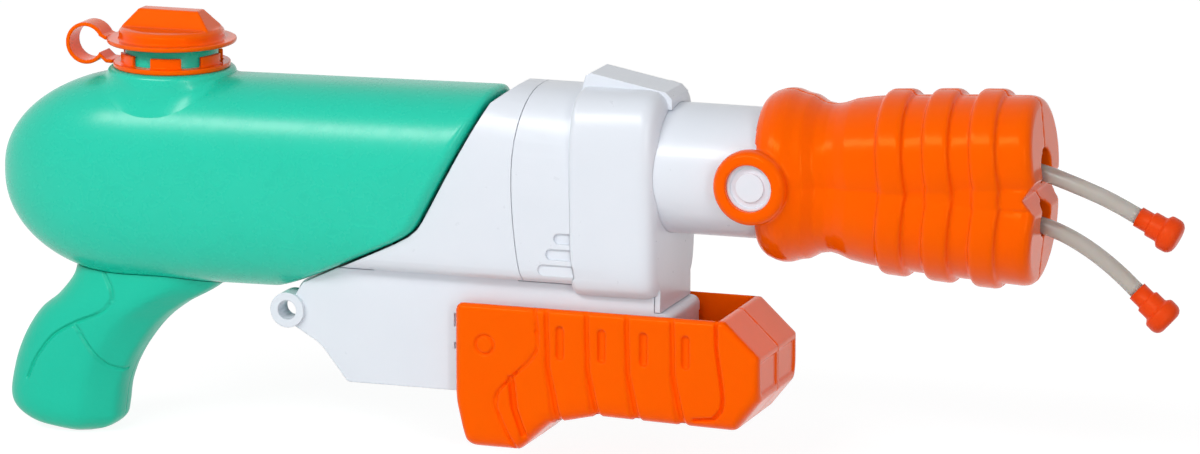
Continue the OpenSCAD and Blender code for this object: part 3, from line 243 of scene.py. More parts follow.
# Injection-moulded ABS from a polished mould: sharp highlights on a warm, saturated pigment.
ORANGE_ABS = Finish(
    "polished_abs_orange", "orange", "#ff6200", "#ff5500", 0.2, ior=1.53, peel_depth_mm=0.012,
    edge_mm=0.7, glow=0.1, glow_mm=1.5, specular=0.4, specular_tint="#ff8430",
)
# Soft thermoplastic rubber of the hose tips: redder and duller than the shells.
TIP_RUBBER = Finish(
    "soft_tpe_orange", "tip_orange", "#ee4a14", "#df3f0e", 0.38, ior=1.5, glow=0.1, specular=0.22,
    specular_tint="#ffc090",
)
# White ABS with a satin mould: cool, with broad highlights.
WHITE_ABS = Finish(
    "satin_abs_white", "white", "#e6ebf3", "#dbe2ec", 0.3, ior=1.53, mottle=0.5, peel_depth_mm=0.015,
    edge_mm=0.7,
)
# Milky flexible PVC tube: lets light in and keeps it there.
SOFT_PVC = Finish(
    "milky_soft_pvc", "hose", "#c9c3bb", "#b9b2a9", 0.22, ior=1.52, edge_mm=0.3, glow=0.4, glow_mm=3.0,
    clear=0.45,
)
# Nitrile rubber of the seals: black, dull and slightly grained.
BLACK_RUBBER = Finish("nitrile_rubber_black", "rubber", "#2a2c2e", "#202224", 0.6, grain_depth_mm=0.02)
# Acetal of the valve block: black, with a waxy sheen.
BLACK_ACETAL = Finish("acetal_black", "black", "#2b2c2f", "#232427", 0.35, ior=1.48)
# Zinc-plated steel of screws and pin: a pale metal with soft reflections.
ZINC_STEEL = Finish(
    "zinc_plated_steel", "steel", "#a9adb3", "#9ba0a7", 0.3, ior=1.45, metallic=1.0, edge_mm=0.2
)
FINISHES = (
    TANK_SKIN, GRIP_SKIN, ORANGE_ABS, TIP_RUBBER, WHITE_ABS, SOFT_PVC, BLACK_RUBBER, BLACK_ACETAL, ZINC_STEEL
)


class Wardrobe:
    """Builds each finish once and dresses pieces with it."""

    def __init__(self, finishes: Sequence[Finish]) -> None:
        """Builds the materials of all finishes."""
        self.materials = {f.slot: f.build() for f in finishes}

    def dress(self, piece: bpy.types.Object, finish: Finish) -> None:
        """Gives a piece one finish all over."""
        piece.data.materials.clear()
        piece.data.materials.append(self.materials[finish.slot])

    def stand_in(self, piece: bpy.types.Object, finish: Finish, node: str) -> None:
        """Dresses a piece and puts it in the place of its CAD node.

        Args:
            piece: The piece to show.
            finish: The finish that it gets.
            node: The name of the CAD node.
        """
        self.dress(piece, finish)
        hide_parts(node)
        LOG.info("%s shows %s in %s", piece.name, node, finish.name)

    def dress_cad(self, nodes: dict[str, bpy.types.Object], slots: dict[str, str]) -> None:
        """Gives every CAD node the finish that the record names for it.

        Args:
            nodes: The CAD nodes by name.
            slots: The material slot of each node.
        """
        for name, node in nodes.items():
            for k in range(max(1, len(node.material_slots))):
                if not node.material_slots:
                    node.data.materials.append(None)
                node.material_slots[k].material = self.materials[slots[name]]


# Surfaces


def grid_faces(rows: int, columns: int, wrap: bool) -> Array:
    """Quads of a grid whose points are numbered row by row.

    Args:
        rows: Points along the first parameter.
        columns: Points along the second parameter.
        wrap: Whether the last column joins the first one.
    Returns:
        An array of four point numbers for each quad.
    """
    row, column = np.meshgrid(np.arange(rows - 1), np.arange(columns if wrap else columns - 1), indexing="ij")
    after = (column + 1) % columns
    quads = np.stack([row * columns + column, row * columns + after, (row + 1) * columns + after,
                      (row + 1) * columns + column], axis=-1)
    return quads.reshape(-1, 4)


def piece_from(name: str, parts: Sequence[tuple[Array, Array]], outward: bool = False) -> bpy.types.Object:
    """Makes one mesh object from grids of points.

    Args:
        name: The piece's name.
        parts: Pairs of points, in metres, and quads.
        outward: Whether the faces are turned outwards by Blender, which suits closed shells.
    Returns:
        The object, at the origin, smooth and with doubles merged.
    """
    points = np.concatenate([p.reshape(-1, 3) for p, _ in parts])
    starts = np.cumsum([0] + [len(p.reshape(-1, 3)) for p, _ in parts[:-1]])
    quads = np.concatenate([q + start for (_, q), start in zip(parts, starts)])
    mesh = bpy.data.meshes.new(name)
    mesh.from_pydata(points.tolist(), [], quads.tolist())
    work = bmesh.new()
    work.from_mesh(mesh)
    bmesh.ops.remove_doubles(work, verts=work.verts, dist=WELD)
    bmesh.ops.dissolve_degenerate(work, edges=work.edges, dist=SLIVER)
    if outward:
        bmesh.ops.recalc_face_normals(work, faces=work.faces)
    work.to_mesh(mesh)
    work.free()
    mesh.polygons.foreach_set("use_smooth", np.ones(len(mesh.polygons), dtype=bool))
    mesh.update()
    return placed(name, mesh)


def smooth_line(points: Array, count: int) -> Array:
    """A smooth curve through given points, as a Catmull-Rom spline with even steps.

    Args:
        points: The points to pass through, one for each row.
        count: How many points the result has.
    Returns:
        Points evenly spaced along the curve.
    """
    padded = np.vstack([2 * points[0] - points[1], points, 2 * points[-1] - points[-2]])
    share = np.linspace(0, 1, RUN_STEPS, endpoint=False)[:, None]
    runs = []
    for k in range(len(points) - 1):
        a, b, c, d = padded[k : k + 4]
        runs.append(0.5 * (2 * b + (c - a) * share + (2 * a - 5 * b + 4 * c - d) * share**2
                           + (3 * b - a - 3 * c + d) * share**3))
    dense = np.vstack(runs + [points[-1:]])
    along = np.concatenate([[0], np.cumsum(np.linalg.norm(np.diff(dense, axis=0), axis=1))])
    wanted = np.linspace(0, along[-1], count)
    return np.stack([np.interp(wanted, along, dense[:, k]) for k in range(dense.shape[1])], axis=1)


def revolve(profile: Array, origin: Array, axis: Array, side: Array, count: int = 96) -> tuple[Array, Array]:
    """Turns a profile round an axis.

    A point is the origin, plus its height along the axis, plus its radius times a direction that
    turns once round the axis, starting at the side vector.

    Args:
        profile: Rows of radius and height.
        origin: A point on the axis.
        axis: Unit vector along the axis.
        side: Unit vector square to the axis.
        count: Steps in one turn.
    Returns:
        Points and quads.
    """
    angle = np.linspace(0, 2 * np.pi, count, endpoint=False)
    other = np.cross(axis, side)
    spoke = np.cos(angle)[:, None] * side + np.sin(angle)[:, None] * other
    points = origin + profile[:, 1, None, None] * axis + profile[:, 0, None, None] * spoke[None]
    return points, grid_faces(len(profile), count, True)[:, ::-1]


@dataclass
class MouldedShell:
    """A moulded shell with soft shading: the part's own solid, welded and smoothed by angle."""

    node: str
    body: Body
    finish: Finish
    crease_deg: float = 34.0
    weld_mm: float = 0.003

    def build(self, wardrobe: Wardrobe) -> bpy.types.Object:
        """Welds a copy of the solid's mesh, keeps its true edges sharp and shows it in the solid's place.

        Args:
            wardrobe: The finishes.
        Returns:
            The shell's object.
        """
        mesh = frame["nodes"][self.node].data.copy()
        for name in ("custom_normal", "sharp_edge", "sharp_face"):
            if name in mesh.attributes:
                mesh.attributes.remove(mesh.attributes[name])
        work = bmesh.new()
        work.from_mesh(mesh)
        bmesh.ops.remove_doubles(work, verts=work.verts, dist=self.weld_mm * MM)
        bmesh.ops.dissolve_degenerate(work, edges=work.edges, dist=WELD)
        for face in work.faces:
            face.smooth = True
        limit = math.radians(self.crease_deg)
        for edge in work.edges:
            edge.smooth = len(edge.link_faces) == 2 and edge.calc_face_angle(math.pi) < limit
        work.to_mesh(mesh)
        work.free()
        mesh.name = self.node + "_shell"
        shell = placed(mesh.name, mesh)
        weights = shell.modifiers.new("flat_faces_stay_flat", "WEIGHTED_NORMAL")
        weights.keep_sharp = True
        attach(shell, self.body.value)
        wardrobe.stand_in(shell, self.finish, self.node)
        return shell


def superellipse(angle: Array, width: float, height: float, power: float) -> tuple[Array, Array]:
    """A rounded square that turns with the angle.

    Each coordinate is its half size times the cosine or sine raised to two over the power, with the
    sign kept.

    Args:
        angle: Angles in radians.
        width: Half size along the first coordinate.
        height: Half size along the second coordinate.
        power: Two for an ellipse, and more for a squarer form.
    Returns:
        The two coordinates.
    """
    across, up = (np.sign(wave) * np.abs(wave) ** (2 / power) for wave in (np.cos(angle), np.sin(angle)))
    return width * across, height * up


@dataclass(frozen=True)
class TankShape:
    """The tank's form, in millimetres, as the part's source has it."""

    half_width: float = 38.0
    half_height: float = 49.8
    power: float = 2.5
    middle: float = 127.3
    rise: float = 0.016
    neck_x: float = -171.0
    rear: float = -256.3
    dome: float = 70.0
    bevel: float = 6.0
    split_x: float = -38.0
    split_z: float = 113.0
    low_slope: float = 0.53
    high_slope: float = 2.1
    soft: float = 3.0
    wall: float = 2.6

    def mid(self, x: Array | float) -> Array:
        """Height of the tank's axis, which climbs gently towards the front."""
        return self.middle + self.rise * (np.asarray(x) - self.neck_x)

    def split(self, z: Array) -> Array:
        """Where the slanted front ends: the lesser of two slopes, softly joined.

        Args:
            z: Heights.
        Returns:
            Places along the toy.
        """
        low = self.split_x + self.low_slope * (z - self.split_z)
        high = self.split_x + self.high_slope * (z - self.split_z)
        return -self.soft * np.logaddexp(-low / self.soft, -high / self.soft)

    def dome_share(self, x: Array) -> Array:
        """Share of the full section at x: a quarter ellipse at the rear, then one."""
        return np.sin(np.arccos(np.clip(1 - (x - self.rear) / self.dome, 0, 1)))

    def surface(self, x: Array, y: Array, up: int) -> Array:
        """Height of the outer surface: the axis, plus or minus the superellipse's height.

        Args:
            x: Places along the toy.
            y: Places across it.
            up: One for the upper side and minus one for the lower.
        Returns:
            Heights.
        """
        share = np.maximum(self.dome_share(x), 1e-6)
        level = 1 - np.clip(np.abs(y) / (self.half_width * share), 0, 1) ** self.power
        return self.mid(x) + up * self.half_height * share * level ** (1 / self.power)


TANK = TankShape()


@dataclass
class WaterTank:
    """The blow-moulded tank: outer skin, inner skin, and a shoulder that flows into its side."""

    shape: TankShape = TANK
    around: int = 160
    shoulder_r: float = 30.6
    shoulder_top: float = 179.6
    shoulder_round: float = 2.6
    neck_r: float = 22.0
    neck_wall: float = 2.4
    neck_top: float = 189.8
    fillet: float = 7.0
    hole_r: float = 26.0
    front_gap: float = 0.4
    foot_sink: float = 0.12
    bore_floor: float = 176.0
    bore_flare: float = 0.8
    underside_r: float = 30.0
    underside: float = 174.4
    turn_steps: int = 144
    fillet_rings: int = 10
    round_rings: int = 7
    dome_rings: int = 40
    side_rings: int = 26
    bevel_rings: int = 10
    closing_rings: int = 8

    def skin(self, inset: float) -> Array:
        """Rings of the tank from its rear point to the middle of its slanted front.

        A ring is a superellipse scaled by the dome's share. Each point of it then moves forward, by
        a share that grows from ring to ring, until it meets the slanted split.

        Args:
            inset: How far inside the outer surface, in millimetres.
        Returns:
            Points in metres, one row for each ring.
        """
        shape = self.shape
        angle = np.linspace(0, 2 * np.pi, self.around, endpoint=False)
        rings = []
        start = shape.rear + inset
        dome = shape.dome - inset

        def ring(x: float, scale: float, lean: float = 1.0, shrink: float = 0.0, advance: float = 0.0,
                 close: float = 1.0) -> None:
            """Adds one ring.

            Args:
                x: Where it starts along the toy.
                scale: Its share of the full section.
                lean: Share of its way to the split that it has gone.
                shrink: How much less its half sizes are.
                advance: How far behind the split it stays.
                close: Share of its size that is left where the front closes.
            """
            width = shape.half_width - inset - shrink
            height = shape.half_height - inset - shrink
            side, up = superellipse(angle, width * close, height * close, shape.power)
            near = shape.split(shape.mid(shape.split_x) + up)
            front = shape.split(shape.mid(near) + up) - inset - advance - self.front_gap
            here = x + (front - x) * lean
            rings.append(np.stack([here, side * scale, shape.mid(here) + up * scale], axis=1))

        for a in np.linspace(0.0, np.pi / 2, self.dome_rings):
            ring(start + dome * (1 - math.cos(a)), max(math.sin(a), 1e-4), lean=0.0)
        for lean in np.linspace(0.0, 1.0, self.side_rings)[1:]:
            ring(start + dome, 1.0, lean, advance=shape.bevel)
        for a in np.linspace(0.0, np.pi / 2, self.bevel_rings)[1:]:
            ring(start + dome, 1.0, shrink=shape.bevel * (1 - math.cos(a)),
                 advance=shape.bevel * (1 - math.sin(a)))
        for close in np.linspace(1.0, 1e-4, self.closing_rings)[1:]:
            ring(start + dome, 1.0, shrink=shape.bevel, close=close)
        return np.stack(rings) * MM

    def opened(self, points: Array, inward: bool) -> tuple[Array, Array]:
        """Leaves out the quads over the neck's bore.

        Args:
            points: The rings of a skin, in metres.
            inward: Whether the quads face inwards.
        Returns:
            The points, and the quads that are left.
        """
        quads = grid_faces(len(points), self.around, True)
        flat = points.reshape(-1, 3)
        centre = flat[quads].mean(axis=1) / MM
        away = np.hypot(centre[:, 0] - self.shape.neck_x, centre[:, 1])
        kept = quads[(away > self.hole_r) | (centre[:, 2] < self.shape.middle)]
        return points, kept[:, ::-1] if inward else kept

    def shoulder(self) -> tuple[Array, Array]:
        """The shoulder, neck and bore, turned round the neck's axis.

        The foot is a quadratic curve from the upright wall to the tank's own surface, so its height
        changes round the axis as the tank falls away.

        Returns:
            Points in metres and quads.
        """
        shape = self.shape
        angle = np.linspace(0, 2 * np.pi, self.turn_steps, endpoint=False)

        def over(radius: float) -> Array:
            """Height of the tank's surface at a radius from the neck's axis, all round."""
            return shape.surface(shape.neck_x + radius * np.cos(angle), radius * np.sin(angle), 1)

        wall_top = self.shoulder_top - self.shoulder_round
        foot = over(self.shoulder_r)
        start = np.minimum(foot + self.fillet, wall_top)
        outer = over(self.shoulder_r + self.fillet) - self.foot_sink
        rows = []
        for q in np.linspace(1, 0, self.fillet_rings):
            height = (1 - q) ** 2 * start + 2 * q * (1 - q) * np.minimum(foot, start) + q * q * outer
            rows.append((self.shoulder_r + self.fillet * q * q, height))
        for a in np.linspace(0, np.pi / 2, self.round_rings):
            rows.append((self.shoulder_r - self.shoulder_round * (1 - math.cos(a)),
                         np.full_like(angle, wall_top + self.shoulder_round * math.sin(a))))
        level, neck, top, bore = self.shoulder_top, self.neck_r, self.neck_top, self.neck_r - self.neck_wall
        for radius, height in (
            (neck + 1.2, level), (neck + 0.35, level + 0.3), (neck, level + 1.1), (neck, top - 0.5),
            (neck - 0.5, top), (bore + 0.5, top), (bore, top - 0.5), (bore, self.bore_floor),
            (bore + self.bore_flare, self.underside + 0.2), (self.underside_r, self.underside),
        ):
            rows.append((radius, np.full_like(angle, height)))
        radii = np.array([radius for radius, _ in rows])[:, None]
        heights = np.array([height for _, height in rows])
        points = np.stack([shape.neck_x + radii * np.cos(angle), radii * np.sin(angle), heights], axis=-1)
        return points * MM, grid_faces(len(rows), len(angle), True)

    def build(self, wardrobe: Wardrobe) -> bpy.types.Object:
        """Builds the tank in place of its CAD solid.

        Args:
            wardrobe: The finishes.
        Returns:
            The tank's object.
        """
        outer = self.opened(self.skin(0.0), False)
        inner = self.opened(self.skin(self.shape.wall), True)
        tank = piece_from("tank_blown_shell", [outer, inner, self.shoulder()])
        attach(tank, Body.GUN.value)
        wardrobe.stand_in(tank, TANK_SKIN, "water_tank")
        return tank


def line_hollow(x: Array, z: Array, line: Outline, half_mm: float, depth_mm: float) -> Array:
    """Depth of a groove along a line of the side view.

    Depth falls as a steep bell with the distance from the nearest point of the line.

    Args:
        x: Coordinates along the toy, in millimetres.
        z: Heights, in millimetres.
        line: The groove's points.
        half_mm: Half of its width.
        depth_mm: Its depth in the middle.
    Returns:
        Depth in millimetres.
    """
    path = np.array(line, float)
    away = np.full(x.shape, np.inf)
    for a, b in zip(path[:-1], path[1:]):
        share = np.clip(((x - a[0]) * (b - a)[0] + (z - a[1]) * (b - a)[1]) / ((b - a) @ (b - a)), 0, 1)
        away = np.minimum(away, np.hypot(x - a[0] - share * (b - a)[0], z - a[1] - share * (b - a)[1]))
    return depth_mm * np.exp(-((away / half_mm) ** 4))


@dataclass
class GripHalf:
    """One half of the pistol grip, with its soft front ridge and the moulded panel lines."""

    node: str
    side: int
    rings_mm: tuple[tuple[float, float, float, float, float], ...] = (
        (-219, 84, -141, 85, 0.94), (-221.5, 76, -148, 75, 0.97), (-229, 66.5, -164, 65.5, 1),
        (-238, 59, -175.5, 56.5, 1), (-245, 49, -185, 45, 1), (-250, 38, -191.5, 34, 1),
        (-253, 27, -195.4, 23.5, 1), (-254.3, 17, -197, 13, 1), (-252, 10.5, -198.5, 6.8, 0.94),
        (-245, 5.2, -204, 2.4, 0.78), (-236, 2.2, -212, 0, 0.5),
    )
    lines_mm: tuple[tuple[tuple[float, float], ...], ...] = (
        ((-199.7, 81), (-195.4, 73), (-195.8, 67), (-202, 61.2), (-214, 56), (-226, 48.7), (-235, 37.5),
         (-240, 27)),
        ((-214.4, 55), (-203, 38), (-197.5, 33.6), (-192, 32.4), (-180, 33)),
    )
    half_width_mm: float = 21.0
    power: float = 2.5
    ridge: float = 1.42
    ridge_soft: float = 0.035
    line_depth_mm: float = 1.3
    line_half_mm: float = 0.8
    line_from: float = 0.3
    gap_mm: float = 0.3
    seam_mm: float = 0.04
    foot_mm: float = 0.02
    along: int = 230
    around: int = 170

    def groove(self, x: Array, z: Array) -> Array:
        """Depth of the panel lines at points of the side view.

        Args:
            x: Coordinates along the toy, in millimetres.
            z: Heights, in millimetres.
        Returns:
            Depth in millimetres.
        """
        size = (self.line_half_mm, self.line_depth_mm)
        lines = [smooth_line(np.array(line, float), LINE_POINTS) for line in self.lines_mm]
        return np.max([line_hollow(x, z, line, *size) for line in lines], axis=0)

    def surface(self) -> Array:
        """The half's outer skin.

        Rings are interpolated with a smooth curve. A point is the ring's middle, plus the ring's
        direction times half its reach times the first superellipse coordinate, and the second one
        gives the width, cut on the front half by a slanted line that makes the ridge.

        Returns:
            Points in metres, one row for each ring.
        """
        rings = smooth_line(np.array(self.rings_mm, float), self.along)
        angle = np.linspace(0, np.pi, self.around)
        length, width = superellipse(angle, 1.0, 1.0, self.power)
        slant = self.ridge - length
        width = -self.ridge_soft * np.logaddexp(-width / self.ridge_soft, -slant / self.ridge_soft)
        width = np.maximum(width - width[0], 0) * (1 + width[0])
        middle = (rings[:, :2] + rings[:, 2:4]) / 2
        reach = (rings[:, 2:4] - rings[:, :2]) / 2
        flat = middle[:, None] + reach[:, None] * length[None, :, None]
        x, z = flat[..., 0], flat[..., 1]
        hollow = self.groove(x, z) * (width[None, :] > self.line_from)
        y = self.half_width_mm * rings[:, 4:5] * width[None, :] - hollow + self.seam_mm
        z = np.minimum(z, TANK.surface(x, y, -1) - self.gap_mm)
        return np.stack([x, self.side * y, np.maximum(z, self.foot_mm)], axis=-1) * MM

    def build(self, wardrobe: Wardrobe) -> bpy.types.Object:
        """Builds the half in place of its CAD solid.

        A lid closes it along the seam, and the foot closes its butt as far as the seam.

        Args:
            wardrobe: The finishes.
        Returns:
            The half's object.
        """
        outer = self.surface()
        lid = outer[:, [0, -1]]
        foot = np.stack([outer[-1], np.repeat(outer[-1].mean(axis=0)[None], self.around, axis=0)])
        foot[1, :, 0] = foot[0, :, 0]
        foot[1, :, 1] = self.side * self.seam_mm * MM
        parts = [(outer, grid_faces(self.along, self.around, False)), (lid, grid_faces(self.along, 2, False)),
                 (foot, grid_faces(2, self.around, False))]
        half = piece_from(self.node + "_skin", parts, outward=True)
        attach(half, Body.GUN.value)
        wardrobe.stand_in(half, GRIP_SKIN, self.node)
        return half


@dataclass
class SoftShell:
    """A moulded shell whose edges are really rounded: the solid's form, resampled and relaxed."""

    node: str
    body: Body
    finish: Finish
    voxel_mm: float = 0.7
    weld_mm: float = 0.003
    passes: int = 3
    shares: tuple[float, float] = (0.6, -0.45)
    carve: Carve | None = None
    bends_with: Body | None = None
    most_triangles: int = 190000

    def resampled(self) -> bpy.types.Mesh:
        """Turns the solid's mesh into small even squares.

        Returns:
            The new mesh.
        """
        welded = bmesh.new()
        welded.from_mesh(frame["nodes"][self.node].data)
        bmesh.ops.remove_doubles(welded, verts=welded.verts, dist=self.weld_mm * MM)
        mesh = bpy.data.meshes.new(self.node + "_welded")
        welded.to_mesh(mesh)
        welded.free()
        piece = placed(mesh.name, mesh)
        remesh = piece.modifiers.new("even_squares", "REMESH")
        remesh.mode = "VOXEL"
        remesh.voxel_size = self.voxel_mm * MM
        fresh = bpy.data.meshes.new_from_object(piece.evaluated_get(bpy.context.evaluated_depsgraph_get()))
        bpy.data.objects.remove(piece)
        bpy.data.meshes.remove(mesh)
        return fresh

    def relaxed(self, points: Array, edges: Array) -> Array:
        """Rounds the edges and keeps the volume.

        Each point moves by a share of the way to the mean of its neighbours, and then by a smaller
        share away from their new mean, over and over.

        Args:
            points: The mesh's points.
            edges: Pairs of point numbers.
        Returns:
            The moved points.
        """
        ends = np.concatenate([edges, edges[:, ::-1]])
        count = np.bincount(ends[:, 0], minlength=len(points))[:, None]
        for _ in range(self.passes):
            for share in self.shares:
                total = [np.bincount(ends[:, 0], axis[ends[:, 1]], len(points)) for axis in points.T]
                points = points + share * (np.stack(total, axis=1) / np.maximum(count, 1) - points)
        return points

    def build(self, wardrobe: Wardrobe) -> bpy.types.Object:
        """Builds the shell in place of its CAD solid.

        A piece that bends with another body is attached to no body, and its place is baked into its points
        instead.

        Args:
            wardrobe: The finishes.
        Returns:
            The shell's object.
        """
        mesh = self.resampled()
        points = np.empty(len(mesh.vertices) * 3)
        mesh.vertices.foreach_get("co", points)
        edges = np.empty(len(mesh.edges) * 2, dtype=int)
        mesh.edges.foreach_get("vertices", edges)
        points = self.relaxed(points.reshape(-1, 3) / MM, edges.reshape(-1, 2))
        if self.carve:
            points = self.carve(points)
        low, high = (np.array(corner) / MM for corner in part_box(self.node))
        points = np.clip(points, low, high)
        mesh.vertices.foreach_set("co", (points * MM).ravel())
        mesh.polygons.foreach_set("use_smooth", np.ones(len(mesh.polygons), dtype=bool))
        mesh.update()
        mesh.name = self.node + "_soft"
        shell = placed(mesh.name, mesh)
        triangles = 2 * len(mesh.polygons)
        if triangles > self.most_triangles:
            thinner = shell.modifiers.new("fewer_triangles", "DECIMATE")
            thinner.ratio = self.most_triangles / triangles
        if self.bends_with:
            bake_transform(shell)
        else:
            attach(shell, self.body.value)
        wardrobe.stand_in(shell, self.finish, self.node)
        return shell


@dataclass(frozen=True)
class PumpRelief:
    """What the mould gives the pump grip's sides: a rounded underside and channels between fingers."""

    half_mm: float = 31.0
    skin_mm: float = 2.2
    under_side_mm: float = 5.0
    under_rise_mm: float = 10.0
    underside_mm: tuple[tuple[float, float], ...] = (
        (-18.2, 16), (-13, 13), (12.5, 13), (27, 26.5), (50, 31.8), (118, 30), (130, 45),
    )
    starts_mm: tuple[float, ...] = (26.0, 45.6, 65.2, 87.2)
    channel_mm: tuple[tuple[float, float, float], ...] = (
        (30, 2.8, 1.7), (48, 1.9, 1.3), (60, 1.3, 0.7), (83, 1.1, 0.5),
    )
    lean_mm: tuple[tuple[float, float], ...] = ((5, 9.1), (42, 3.6), (55, 1.2), (83, 0.6))
    rear_mm: tuple[tuple[float, float], ...] = ((21.7, 15.5), (34, 11.1), (48.2, 9.6))
    rear_ends_mm: tuple[float, float] = (17.0, 49.5)
    rear_fade_mm: float = 4.0
    rear_half_mm: float = 1.9
    rear_depth_mm: float = 1.6
    notch_share: float = 0.5
    notch_rise_mm: float = 1.2
    notch_from_mm: float = 28.0
    lines_mm: tuple[tuple[tuple[float, float], ...], ...] = (
        ((21.3, 84), (22.2, 62.5), (10.4, 48.8), (2.9, 40.5), (2.6, 32.4), (12.8, 11)),
        ((109.3, 84), (109.8, 69), (112, 54), (112.9, 46), (112.2, 40.6), (108.2, 36), (99, 34.8)),
    )
    slots_mm: tuple[float, ...] = (33.6, 54.0, 74.4, 94.8)
    slot_ends_mm: tuple[float, float] = (60.3, 72.5)
    mark_mm: tuple[float, float, float] = (-3.4, 63.0, 4.4)
    line_size_mm: tuple[float, float] = (0.75, 1.0)
    slot_size_mm: tuple[float, float] = (1.8, 0.8)
    mark_size_mm: tuple[float, float] = (0.6, 0.8)

    def channels(self, x: Array, z: Array) -> Array:
        """Depth of the channels between the fingers, and of the one behind them.

        A channel is flat-bottomed: its depth falls with the fourth power of the distance from its
        middle. It leans forward, and gets wider and deeper, towards the underside.

        Args:
            x: Coordinates along the toy, in millimetres.
            z: Heights, in millimetres.
        Returns:
            Depth in millimetres.
        """
        heights, widths, depths = np.array(self.channel_mm).T
        lean = np.interp(z, *np.array(self.lean_mm).T)
        away = np.min([np.abs(x - start - lean) for start in self.starts_mm], axis=0)
        near = np.clip(away / np.interp(z, heights, widths), 0, 1)
        fingers = np.interp(z, heights, depths) * (1 - near**4)
        away = np.abs(x - np.interp(z, *np.array(self.rear_mm).T))
        lower, upper = self.rear_ends_mm
        ends = np.clip((upper - z) / self.rear_fade_mm, 0, 1) * np.clip((z - lower) / self.rear_fade_mm, 0, 1)
        near = np.clip(away / self.rear_half_mm, 0, 1)
        return np.maximum(fingers, self.rear_depth_mm * ends * (1 - near**4))

    def marks(self, x: Array, z: Array) -> Array:
        """Depth of the moulded lines, the upright slots and the round mark.

        Args:
            x: Coordinates along the toy, in millimetres.
            z: Heights, in millimetres.
        Returns:
            Depth in millimetres.
        """
        hollows = [line_hollow(x, z, smooth_line(np.array(line, float), LINE_POINTS), *self.line_size_mm)
                   for line in self.lines_mm]
        lower, upper = self.slot_ends_mm
        for slot in self.slots_mm:
            hollows.append(line_hollow(x, z, ((slot, lower), (slot, upper)), *self.slot_size_mm))
        mark_x, mark_z, mark_r = self.mark_mm
        half, depth = self.mark_size_mm
        ring = np.abs(np.hypot(x - mark_x, z - mark_z) - mark_r)
        hollows.append(depth * np.exp(-((ring / half) ** 4)))
        return np.max(hollows, axis=0)

    def carve(self, points: Array) -> Array:
        """Moves points of the plain side to the relief.

        The width shrinks towards the underside as an ellipse does. Points of the skin move inwards by
        the depth of the channels and marks, and the channels notch the underside's edge.

        Args:
            points: Points in millimetres.
        Returns:
            The moved points.
        """
        x, y, z = points.T
        low = np.interp(x, *np.array(self.underside_mm, float).T)
        rise = np.clip((z - low) / self.under_rise_mm, 0, 1)
        half = self.half_mm - self.under_side_mm * (1 - np.sqrt(1 - (1 - rise) ** 2))
        y = y * half / self.half_mm
        hollow = np.maximum(self.channels(x, z), self.marks(x, z))
        y = y - np.sign(y) * hollow * (np.abs(y) > half - self.skin_mm)
        z = z + self.notch_share * hollow * (z - low < self.notch_rise_mm) * (x > self.notch_from_mm)
        return np.stack([x, y, z], axis=1)


@dataclass
class HoseTip:
    """A soft tip at a hose's end, turned round the hose's last direction."""

    node: str
    route_mm: tuple[tuple[float, float], ...]
    profile_mm: tuple[tuple[float, float], ...] = (
        (3.8, 3.0), (3.8, 0.3), (4.2, 0.0), (4.8, 0.0), (4.8, 5.7), (5.0, 6.1), (5.7, 6.4), (6.0, 6.9),
        (6.0, 11.6), (6.2, 12.2), (7.0, 12.8), (7.9, 13.5), (8.2, 14.4), (8.2, 17.4), (8.0, 18.6),
        (7.3, 19.8), (6.2, 20.7), (4.8, 21.15), (2.5, 21.2), (0.02, 21.2),
    )

    def build(self, wardrobe: Wardrobe) -> bpy.types.Object:
        """Builds the tip in place of its CAD solid.

        Args:
            wardrobe: The finishes.
        Returns:
            The tip's object.
        """
        end, before = (np.array([self.route_mm[k][0], 0.0, self.route_mm[k][1]]) for k in (-1, -2))
        axis = (end - before) / np.linalg.norm(end - before)
        points, quads = revolve(np.array(self.profile_mm) * MM, end * MM, axis, np.array([0.0, 1.0, 0.0]), 72)
        tip = piece_from(self.node + "_turned", [(points, quads)])
        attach(tip, Body.NOZZLE.value)
        wardrobe.stand_in(tip, TIP_RUBBER, self.node)
        return tip


# Camera, light and floor


@dataclass(frozen=True)
class SoftBox:
    """An area lamp. Lengths are metres and the power is watts."""

    name: str
    place: tuple[float, float, float]
    width: float
    height: float
    power: float

    def build(self, target: Vector) -> None:
        """Adds the lamp.

        Args:
            target: The point that it is turned to.
        """
        data = bpy.data.lights.new(self.name, "AREA")
        data.shape = "RECTANGLE"
        data.size = self.width
        data.size_y = self.height
        data.energy = self.power
        lamp = placed(self.name, data)
        lamp.location = self.place
        lamp.rotation_euler = (target - Vector(self.place)).to_track_quat("-Z", "Y").to_euler()


